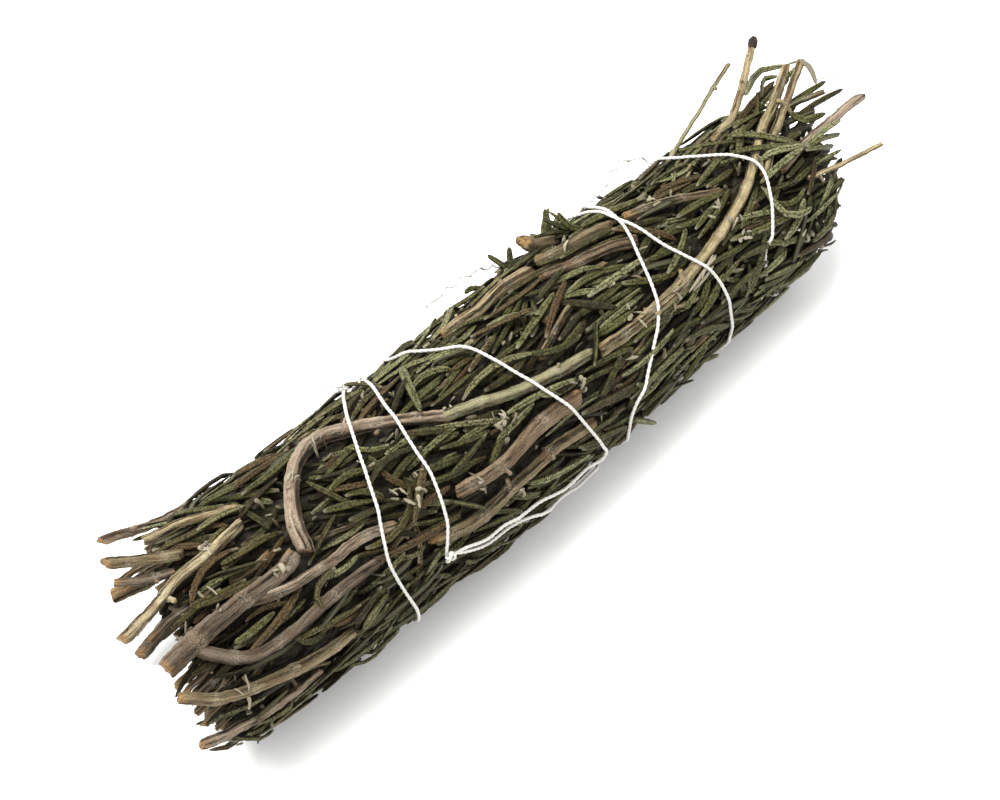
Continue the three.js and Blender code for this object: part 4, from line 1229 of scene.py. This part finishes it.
class BUNDLE_OT_leaves(bpy.types.Operator):
    """Lay the leaves of every sprig"""

    bl_idname = "bundle.leaves"
    bl_label = "Leaves"

    def execute(self, context):
        settings, _, _ = settings_of(context)
        pile = laid_pile(settings)
        material = dried_leaf(settings)
        tree = sweep_tree("Leaf sweep", "leaf_up", "leaf_size")
        corners = [(up, across) for up, across, _ in LEAF_SECTION]
        section = section_object("leaf_section", corners, ("leaf_face", [face for *_, face in LEAF_SECTION]))
        for index in range(SPRIGS):
            own = [leaf for leaf in pile.leaves if leaf["sprig"] == index]
            lines = [leaf["points"] for leaf in own]
            guides = guide_mesh(
                "leaf_guides",
                lines,
                {
                    # How deep and covered each point lies, for the painted shade of the leaves under others
                    "leaf_deep": pile.painted_shade_of(np.vstack(lines)),
                    "leaf_up": np.vstack([leaf["up"] for leaf in own]),
                    "leaf_size": np.concatenate([leaf["size"] for leaf in own]),
                    **{
                        "leaf_" + key: np.repeat([leaf[key] for leaf in own], len(LEAF_STATIONS))
                        for key in ("tone", "felt", "dried")
                    },
                    "leaf_along": np.tile(LEAF_STATIONS, len(own)),
                },
            )
            piece = swept_piece(sprig_name(index, "", "_leaves"), guides, section, tree, material)
            finish_piece(piece, "dried_leaves", sprig_name(index))
        bpy.data.objects.remove(section)
        return {"FINISHED"}


MASS_DEPTH = 3.7  # how far under the skin the mass painted as shade begins
MASS_INSETS = (11.0, 9.0)  # and how far behind the leaves' near and far ends
MASS_RINGS, MASS_CORNERS = 55, 9
MASS_GAP = 0.4  # degrees between a sprig's mass and the border to the next
MASS_ROUGH = (-0.5, 0.3)
MASS_CLOSING, MASS_CLOSES_OVER = 0.35, 7.0  # how much its ends narrow, and over what length


class BUNDLE_OT_hearts(bpy.types.Operator):
    """Fill each sprig under its leaves"""

    bl_idname = "bundle.hearts"
    bl_label = "Packed mass"

    def execute(self, context):
        material = packed_leaves()
        rng = np.random.default_rng(MASS_SEED)
        for index in range(SPRIGS):
            rings = []
            direction = index * 360 / SPRIGS - 90
            start = float(near_end(direction)) + MASS_INSETS[0]
            end = float(far_end(direction)) - MASS_INSETS[1]
            for x in np.linspace(start, end, MASS_RINGS):
                closing = 1 - MASS_CLOSING * max(0.0, 1 - min(x - start, end - x) / MASS_CLOSES_OVER) ** 2
                low, high = border_at(index, x) + MASS_GAP, border_at(index + 1, x) - MASS_GAP
                outer_angles = np.linspace(low, high, MASS_CORNERS)
                rough = rng.uniform(*MASS_ROUGH, MASS_CORNERS)
                outer = (skin_at(x, outer_angles) - MASS_DEPTH + rough) * closing
                inner_angles = outer_angles[[-1, MASS_CORNERS // 2, 0]]
                ring = np.vstack(
                    [at_radius(x, outer_angles, outer), at_radius(x, inner_angles, HEART_RADIUS * closing)]
                )
                rings.append(ring)
            mesh = loft_mesh(sprig_name(index, "", "_mass"), rings)
            mesh.materials.append(material)
            finish_piece(linked(mesh.name, mesh), "dried_leaves", sprig_name(index))
        return {"FINISHED"}


def loft_mesh(name, rings):
    """A closed body through rings of corners that run the same way round."""
    sides = len(rings[0])
    faces = []
    for level in range(len(rings) - 1):
        for side in range(sides):
            here = level * sides + side
            beside = level * sides + (side + 1) % sides
            faces.append((here, here + sides, beside + sides, beside))
    faces.append(tuple(range(sides)))
    faces.append(tuple((len(rings) - 1) * sides + side for side in reversed(range(sides))))
    mesh = bpy.data.meshes.new(name)
    mesh.from_pydata((np.vstack(rings) * MM).tolist(), [], faces)
    mesh.update()
    return mesh


STEM_SIDES, STUB_SIDES = 16, 8
STEM_RIDGES = ((1, 0.06), (2, 0.07), (3, 0.06), (5, 0.06), (7, 0.05))  # how many round the stem, and how high
STEM_ROUGH, STEM_WOBBLE, TORN = 0.03, 0.045, 0.13  # spreads of the surface, the course and the cut ends
NODE_SWELLS, NODE_MARKS = 0.8, 1.1  # half-lengths of a node's swelling and of its felted scars
SCAR_SWELL = 0.17  # how much a node swells under its scars, as a share of the radius
STUB_CHANCE = 0.35
STUB_CLEAR = 2.0  # of the stem's ends
THINNEST_WITH_STUBS = 0.35
END_SHARES = {0: 0.9, 1: 0.97, -1: 0.9, -2: 0.97}  # the worn ends are thinner


def stem_body(points, radii, finish, rng, settings):
    """A bark-covered stem with ridges, nodes with their scars and stubs, and torn or cut ends."""
    path = smooth_curve(points, settings.ring_step / MM)
    along = lengths_along(path)
    sides = STEM_SIDES
    turn = 2 * math.pi * np.arange(sides) / sides
    base = np.linspace(radii[0], radii[1], len(path)) * (1 + 0.05 * np.sin(along / 4.1 + rng.uniform(0, 6)))
    ridges = np.zeros((len(path), sides))
    for order, depth in STEM_RIDGES:
        phase = rng.uniform(0, 6.3) + rng.uniform(-0.1, 0.1) * along[:, None]
        ridges += depth * np.cos(order * turn[None, :] + phase)
    shape = 1 + ridges
    knots = np.zeros(len(path))
    stubs = []
    tangents, normals = frames_along(path)
    across = np.cross(tangents, normals)
    place = rng.uniform(2, 8)
    while place < along[-1] - 1.5:
        near = np.exp(-(((along - place) / NODE_SWELLS) ** 2))
        knots = np.maximum(knots, np.exp(-(((along - place) / NODE_MARKS) ** 2)))
        side = rng.uniform(0, math.pi)
        scars = np.exp(-((np.sin(turn - side) / 0.4) ** 2))
        shape += near[:, None] * (0.06 + SCAR_SWELL * scars[None, :]) * rng.uniform(0.5, 1.2)
        ring = int(np.argmin(np.abs(along - place)))
        for way in (side + math.pi / 2, side - math.pi / 2):
            thick = radii[0] > THINNEST_WITH_STUBS
            if thick and rng.random() < STUB_CHANCE and min(place, along[-1] - place) > STUB_CLEAR:
                sideways = normals[ring] * math.cos(way) + across[ring] * math.sin(way)
                lean = sideways + tangents[ring] * rng.uniform(-0.9, 0.9)
                stubs.append((path[ring] + sideways * base[ring] * 0.6, lean))
        place += settings.node_gap / MM * rng.uniform(0.5, 1.3)
    shape += rng.normal(0, STEM_ROUGH, shape.shape)
    for end, share in END_SHARES.items():
        shape[end] *= share
    wobble = np.cumsum(rng.normal(0, STEM_WOBBLE, path.shape), axis=0)
    wobble -= np.linspace(wobble[0], wobble[-1], len(path))
    slant = (rng.uniform(-0.6, 0.6), rng.uniform(-0.6, 0.6))
    corners, faces, grain = tube(path + wobble, base[:, None] * shape, slant)
    for first in (0, len(corners) - 2 - sides):
        torn = rng.normal(0, TORN, sides) + 0.16 * np.sin(2 * turn + rng.uniform(0, 6))
        corners[first : first + sides] += tangents[0 if first == 0 else -1] * torn[:, None]
    # Bark is torn off in a streak behind each end, where the wood shows.
    streak = np.zeros((len(path), sides))
    for away, reach in ((along, rng.uniform(0.5, 2.6)), (along[-1] - along, rng.uniform(0.5, 2.6))):
        facing = np.clip(np.cos(turn - rng.uniform(0, 6.3)) - 0.1, 0, 1)
        streak = np.maximum(streak, np.clip(1.2 - away / reach, 0, 1)[:, None] * facing)
    values = {
        "bark_grain": grain + rng.uniform(-50, 50, 3),
        "bark_cut": np.append(0.6 * streak.ravel(), (1.0, 1.0)),
        # The ridges' height: the bark paints their tops paler and the hollows between them darker, as light
        # and shade.
        "bark_ridge": np.append(np.clip(0.5 + 2.6 * ridges, 0, 1).ravel(), (0.5, 0.5)),
        "bark_knot": np.append(np.repeat(knots, sides), (0.0, 0.0)),
    }
    bodies = [(corners, faces, values, finish)]
    for foot, lean in stubs:
        bodies.append(stub_body(foot, unit(lean), finish, rng))
    return bodies


STUB_SWELLS = np.array([1.3, 1.15, 0.95, 0.9, 1.0, 0.8])


def stub_body(foot, lean, finish, rng):
    """What is left of a side shoot: a short snapped stub with a felted collar."""
    length, radius = rng.uniform(0.8, 2.0), rng.uniform(0.3, 0.55)
    bend = rng.normal(0, 0.25, 3)
    steps = np.linspace(0, 1, len(STUB_SWELLS))[:, None]
    path = foot + lean * length * steps + bend * steps**2
    swell = STUB_SWELLS[:, None] * rng.uniform(0.85, 1.15, (len(STUB_SWELLS), STUB_SIDES))
    corners, faces, grain = tube(path, radius * swell)
    cut = np.zeros(len(corners))
    cut[-1] = 1
    values = {
        "bark_grain": grain + rng.uniform(-50, 50, 3),
        "bark_cut": cut,
        "bark_ridge": np.full(len(corners), 0.6),
        "bark_knot": np.full(len(corners), rng.uniform(0, 0.6)),
    }
    return corners, faces, values, finish


SEEDED_STEM = "far_stem_3"
SEED_SWELLS = np.array([0.5, 0.85, 1.0, 1.02, 1.0, 0.8, 0.45])
SEED_REACH = (-0.4, 2.5)  # from the twig's tip
SEED_SIDES = 10


def seed_head(points, rng):
    """The dark dried bud at the tip of a twig."""
    tip, way = points[-1], unit(points[-1] - points[-2])
    path = tip + way * np.linspace(*SEED_REACH, len(SEED_SWELLS))[:, None]
    uneven = rng.uniform(0.9, 1.1, (len(SEED_SWELLS), SEED_SIDES))
    corners, faces, grain = tube(path, SEED_SWELLS[:, None] * uneven)
    blank = np.zeros(len(corners))
    values = {"bark_grain": grain, "bark_cut": blank, "bark_ridge": blank + 0.5, "bark_knot": blank}
    return corners, faces, values, "seed"


def stem_mesh(name, bodies, barks):
    """One mesh of several stem bodies, each with its own bark."""
    mesh = bpy.data.meshes.new(name)
    used = sorted({finish for *_, finish in bodies})
    faces, indices = [], []
    start = 0
    for corners, body_faces, _, finish in bodies:
        faces.extend(tuple(v + start for v in face) for face in body_faces)
        indices.extend([used.index(finish)] * len(body_faces))
        start += len(corners)
    corners = np.vstack([body[0] for body in bodies])
    corners[:, 2] = np.maximum(corners[:, 2], GROUND_GAP)
    mesh.from_pydata((corners * MM).tolist(), [], faces)
    for key in bodies[0][2]:
        add_attribute(mesh, key, np.concatenate([body[2][key] for body in bodies]))
    for finish in used:
        mesh.materials.append(barks[finish])
    mesh.polygons.foreach_set("material_index", indices)
    mesh.shade_smooth()
    return linked(name, mesh)


def sprig_stem_points(index):
    random = stream(80 + index)
    side = stem_side(index)
    radius = SPRIG_STEM_RADIUS + 3 * (random() - 0.5)
    direction = 360 / SPRIGS * index - 90
    edge = float((near_end if side < 0 else far_end)(direction, SPRIG_STEM_SHARE))
    points = []
    foot, bend, tip = SPRIG_STEM_REACH
    for beyond in (foot, bend, tip + 3 * random()):
        x = edge + side * beyond
        middle = (border_at(index, x) + border_at(index + 1, x)) / 2
        points.append(at_radius(x, middle + 6 * (random() - 0.5), radius))
    return points


def heart_stem_points(index):
    random = stream(700 + index)
    start, end = (place + ENDS_VARY * (2 * random() - 1) for place in HEART_STEM_ENDS)
    ring = 0 if index == 0 else HEART_RING
    angle = 360 / (HEART_STEMS - 1) * index + TWIST
    shares = (0, 1 / 3, 2 / 3, 1)
    return [at_radius(start + (end - start) * share, angle + TWIST * share, ring) for share in shares]


class BUNDLE_OT_stems(bpy.types.Operator):
    """Make the woody stems on the skin, in the sprigs and in the heart of the bundle"""

    bl_idname = "bundle.stems"
    bl_label = "Stems"

    def execute(self, context):
        leaf_settings, settings, _ = settings_of(context)
        rng = np.random.default_rng(STEM_SEED)
        barks = {finish: bark(settings, finish) for finish in BARKS}
        made = {}
        for name, radii, finish, route in BARE_STEMS:
            made.setdefault(name, []).extend(stem_body(places(route), radii, finish, rng, settings))
        tip = next(route for name, *_, route in BARE_STEMS if name == SEEDED_STEM)
        made[SEEDED_STEM].append(seed_head(places(tip), rng))
        for name, bodies in made.items():
            finish_piece(stem_mesh(name + "_bark", bodies, barks), "stem_bark", name)
        twigs = laid_pile(leaf_settings).twigs
        for index in range(SPRIGS):
            bodies = stem_body(sprig_stem_points(index), SPRIG_STEM_RADII, "brown", rng, settings)
            for line, radius, finish, sprig in twigs:
                if sprig == index:
                    bodies.extend(stem_body(line, (radius, 0.9 * radius), finish, rng, settings))
            piece = stem_mesh(sprig_name(index, "", "_stem"), bodies, barks)
            finish_piece(piece, "stem_bark", sprig_name(index))
        for index in range(HEART_STEMS):
            bodies = stem_body(heart_stem_points(index), HEART_STEM_RADII, "brown", rng, settings)
            name = f"heart_stem_{index + 1}"
            finish_piece(stem_mesh(name + "_bark", bodies, barks), "stem_bark", name)
        return {"FINISHED"}


THREAD_STEP = 0.35
LOOSE_WAVES = ((0.45, 1.9), (0.4, 1.4))  # two waves across the loose ends: height, and turn in a millimetre
# Where the thread feels what is under it, in millimetres ahead and degrees aside.
THREAD_FEELS = ((-0.5, 0, 0.5), (-1.2, 0, 1.2))
THREAD_SINKS = 0.85  # of its radius, the height of its middle over what it lies on
THREAD_LIFTS = (-0.3, 2.4)  # the least and the most
TAUTENING = 500  # rounds


def taut_lifts(pile, x, angle, radius):
    """The thread's lift over the pile, pulled tight between the leaves and stems that it crosses."""
    under = np.full(len(x), -100.0)
    for ahead in THREAD_FEELS[0]:
        for aside in THREAD_FEELS[1]:
            under = np.maximum(under, pile.read(x + ahead, angle + aside))
    floor = np.maximum(under + radius * THREAD_SINKS, THREAD_LIFTS[0])
    lift = floor.copy()
    step = np.median(np.hypot(np.diff(x), np.radians(np.diff(angle)) * MEAN_RADIUS))
    bow = step * step / (2 * MEAN_RADIUS)
    for _ in range(TAUTENING):
        middle = 0.5 * (np.roll(lift, 1) + np.roll(lift, -1)) - bow
        middle[0], middle[-1] = lift[0], lift[-1]
        lift = np.maximum(floor, middle)
    return np.minimum(lift, THREAD_LIFTS[1])


def wound_path(pile, route, radius):
    """A stretch of thread round the bundle: taut over the pile, and lifted by its slack."""
    unrolled = [(x, math.radians(angle) * MEAN_RADIUS, sum(slack)) for x, angle, *slack in route]
    flat = smooth_curve(np.array(unrolled), THREAD_STEP)
    x, angle = flat[:, 0], np.degrees(flat[:, 1] / MEAN_RADIUS)
    lifts = taut_lifts(pile, x, angle, radius) + flat[:, 2]
    for first, last in BURIED:
        lifts -= BURIED_DIP * np.clip(np.minimum(angle - first, last - angle) / 6, 0, 1)
    points = on_skin(x, angle, lifts)
    points[:, 2] = np.maximum(points[:, 2], radius)
    return points


def twisted(path, pitch):
    """Directions that turn round a path once in each pitch."""
    tangents, normals = frames_along(path)
    across = np.cross(tangents, normals)
    turn = 2 * math.pi * lengths_along(path) / pitch
    return normals * np.cos(turn)[:, None] + across * np.sin(turn)[:, None]


def loose_path(route):
    """A loose end of thread: it keeps the small waves that the plies' twist gives it."""
    line = smooth_curve(places(route), THREAD_STEP)
    along = lengths_along(line)
    tangents, normals = frames_along(line)
    across = np.cross(tangents, normals)
    (rise, rising), (sway, swaying) = LOOSE_WAVES
    line = line + normals * (rise * np.sin(along * rising))[:, None]
    return line + across * (sway * np.cos(along * swaying))[:, None]


def knot_path(x, angle, radius):
    """A tight tangle of thread: a short knotted coil on the skin."""
    centre = on_skin(x, angle, radius)
    up = outward(angle)
    along = np.array([1.0, 0, 0])
    side = np.cross(up, along)
    swing = 2 * math.pi * np.linspace(0, 1, 60)
    long, wide, high = (radius * share for share in KNOT_SHARES)
    return (
        centre
        + np.outer(np.sin(2 * swing) * long, along)
        + np.outer(np.sin(3 * swing + 0.7) * wide, side)
        + np.outer(np.cos(5 * swing) * high, up)
    )


THINNER = 0.8  # of the thread's width, where nothing pulls it flat: its knots and loose ends
PLY_CORNERS = 12
PLY_GROOVE = 0.3  # of the radius: how deep the groove between the two plies is


class BUNDLE_OT_thread(bpy.types.Operator):
    """Wind the cotton thread round the bundle"""

    bl_idname = "bundle.thread"
    bl_label = "Thread"

    def execute(self, context):
        leaf_settings, _, settings = settings_of(context)
        pile = laid_pile(leaf_settings)
        radius = settings.thread_width / MM / 2
        pitch = settings.twist_pitch / MM
        lines = [wound_path(pile, route, radius) for route in (FIRST_LOOP, SECOND_PASS)]
        sizes = [np.ones(len(line)) for line in lines]
        lines += [loose_path(route) for route in LOOSE_ENDS]
        lines += [smooth_curve(knot_path(*knot), THREAD_STEP) for knot in KNOTS]
        sizes += [np.full(len(line), THINNER) for line in lines[len(sizes):]]
        guides = guide_mesh(
            "thread_guides",
            lines,
            {
                "ply_up": np.vstack([twisted(line, pitch) for line in lines]),
                "ply_size": np.concatenate(sizes) * 2 * radius,
            },
        )
        turn = 2 * math.pi * np.arange(PLY_CORNERS) / PLY_CORNERS
        lobes = 0.5 * (1 - PLY_GROOVE + PLY_GROOVE * np.abs(np.cos(turn)))
        section = section_object("ply_section", list(zip(lobes * np.cos(turn), lobes * np.sin(turn))))
        tree = sweep_tree("Thread sweep", "ply_up", "ply_size")
        piece = swept_piece("cotton_thread_plies", guides, section, tree, cotton(settings))
        finish_piece(piece, "cotton_thread", "cotton_thread")
        bpy.data.objects.remove(section)
        return {"FINISHED"}


# The photograph's camera: it looks down on the bundle from the side of the cut ends.
CAMERA_AZIMUTH = -45.0
CAMERA_ELEVATION = 53.0
CAMERA_DISTANCE = 543.0
CAMERA_TARGET = (-4.4, -0.6, 20.0)
CAMERA_LENS = 100.0
CAMERA_SENSOR = 36.0
CLIP_END = 20.0  # metres
FLOOR_REACH = 3.0  # metres from the middle to each side
# One large lamp hangs over the bundle, a little to its back left, so the shadow falls to the lower right.
KEY_PLACE, KEY_SIZE = (-0.19, 0.27, 0.86), 0.75  # metres


class BUNDLE_OT_stage(bpy.types.Operator):
    """Set up the floor, the lights and the camera"""

    bl_idname = "bundle.stage"
    bl_label = "Stage"

    def execute(self, context):
        settings = context.scene.bundle_stage
        scene = context.scene
        scene.view_settings.view_transform = "Standard"
        scene.view_settings.look = "None"
        self.add_camera(scene)
        self.add_floor(settings)
        world = bpy.data.worlds.new("soft_room")
        scene.world = world
        world.use_nodes = True
        sky = world.node_tree.nodes["Background"]
        sky.inputs["Color"].default_value = (1, 1, 1, 1)
        sky.inputs["Strength"].default_value = settings.sky_strength
        self.add_lamp("key_lamp", KEY_PLACE, KEY_SIZE, settings.key_power)
        return {"FINISHED"}

    def add_camera(self, scene):
        azimuth, elevation = math.radians(CAMERA_AZIMUTH), math.radians(CAMERA_ELEVATION)
        level = math.cos(elevation)
        back = np.array([math.sin(azimuth) * level, -math.cos(azimuth) * level, math.sin(elevation)])
        right = np.array([math.cos(azimuth), math.sin(azimuth), 0.0])
        up = np.cross(back, right)
        data = bpy.data.cameras.new("camera")
        data.lens = CAMERA_LENS
        data.sensor_width = CAMERA_SENSOR
        data.clip_end = CLIP_END
        camera = linked("camera", data)
        place = (np.array(CAMERA_TARGET) + back * CAMERA_DISTANCE) * MM
        rows = [list(column) + [spot] for column, spot in zip(np.stack([right, up, back], axis=1), place)]
        camera.matrix_world = Matrix(rows + [[0, 0, 0, 1]])
        scene.camera = camera

    def add_floor(self, settings):
        mesh = bpy.data.meshes.new("floor")
        ways = ((-1, -1), (1, -1), (1, 1), (-1, 1))
        mesh.from_pydata([(FLOOR_REACH * x, FLOOR_REACH * y, 0) for x, y in ways], [], [(0, 1, 2, 3)])
        mesh.materials.append(matt_backdrop(settings))
        linked("floor", mesh)

    def add_lamp(self, name, place, size, power):
        data = bpy.data.lights.new(name, "AREA")
        data.energy = power
        data.size = size
        lamp = linked(name, data)
        lamp.location = place
        lamp.rotation_euler = Vector(place).to_track_quat("Z", "Y").to_euler()


class BUNDLE_PT_panel(bpy.types.Panel):
    """Buttons for every part of the bundle"""

    bl_label = "Rosemary bundle"
    bl_idname = "BUNDLE_PT_panel"
    bl_space_type = "VIEW_3D"
    bl_region_type = "UI"
    bl_category = "Bundle"

    def draw(self, context):
        for group in SETTINGS:
            held = getattr(context.scene, group)
            for name in held.__annotations__:
                self.layout.prop(held, name)
        for operator in OPERATORS:
            self.layout.operator(operator.bl_idname)


SETTINGS = {
    "bundle_leaves": LeafSettings,
    "bundle_stems": StemSettings,
    "bundle_thread": ThreadSettings,
    "bundle_stage": StageSettings,
}
OPERATORS = (BUNDLE_OT_stage, BUNDLE_OT_stems, BUNDLE_OT_hearts, BUNDLE_OT_leaves, BUNDLE_OT_thread)


def register():
    for kind in (*SETTINGS.values(), *OPERATORS, BUNDLE_PT_panel):
        bpy.utils.register_class(kind)
    for name, kind in SETTINGS.items():
        setattr(bpy.types.Scene, name, PointerProperty(type=kind))


def unregister():
    for name in SETTINGS:
        delattr(bpy.types.Scene, name)
    for kind in reversed((*SETTINGS.values(), *OPERATORS, BUNDLE_PT_panel)):
        bpy.utils.unregister_class(kind)


def main():
    register()
    bpy.ops.bundle.stage()
    bpy.ops.bundle.stems()
    bpy.ops.bundle.hearts()
    bpy.ops.bundle.leaves()
    bpy.ops.bundle.thread()


if __name__ == "__main__":
    main()
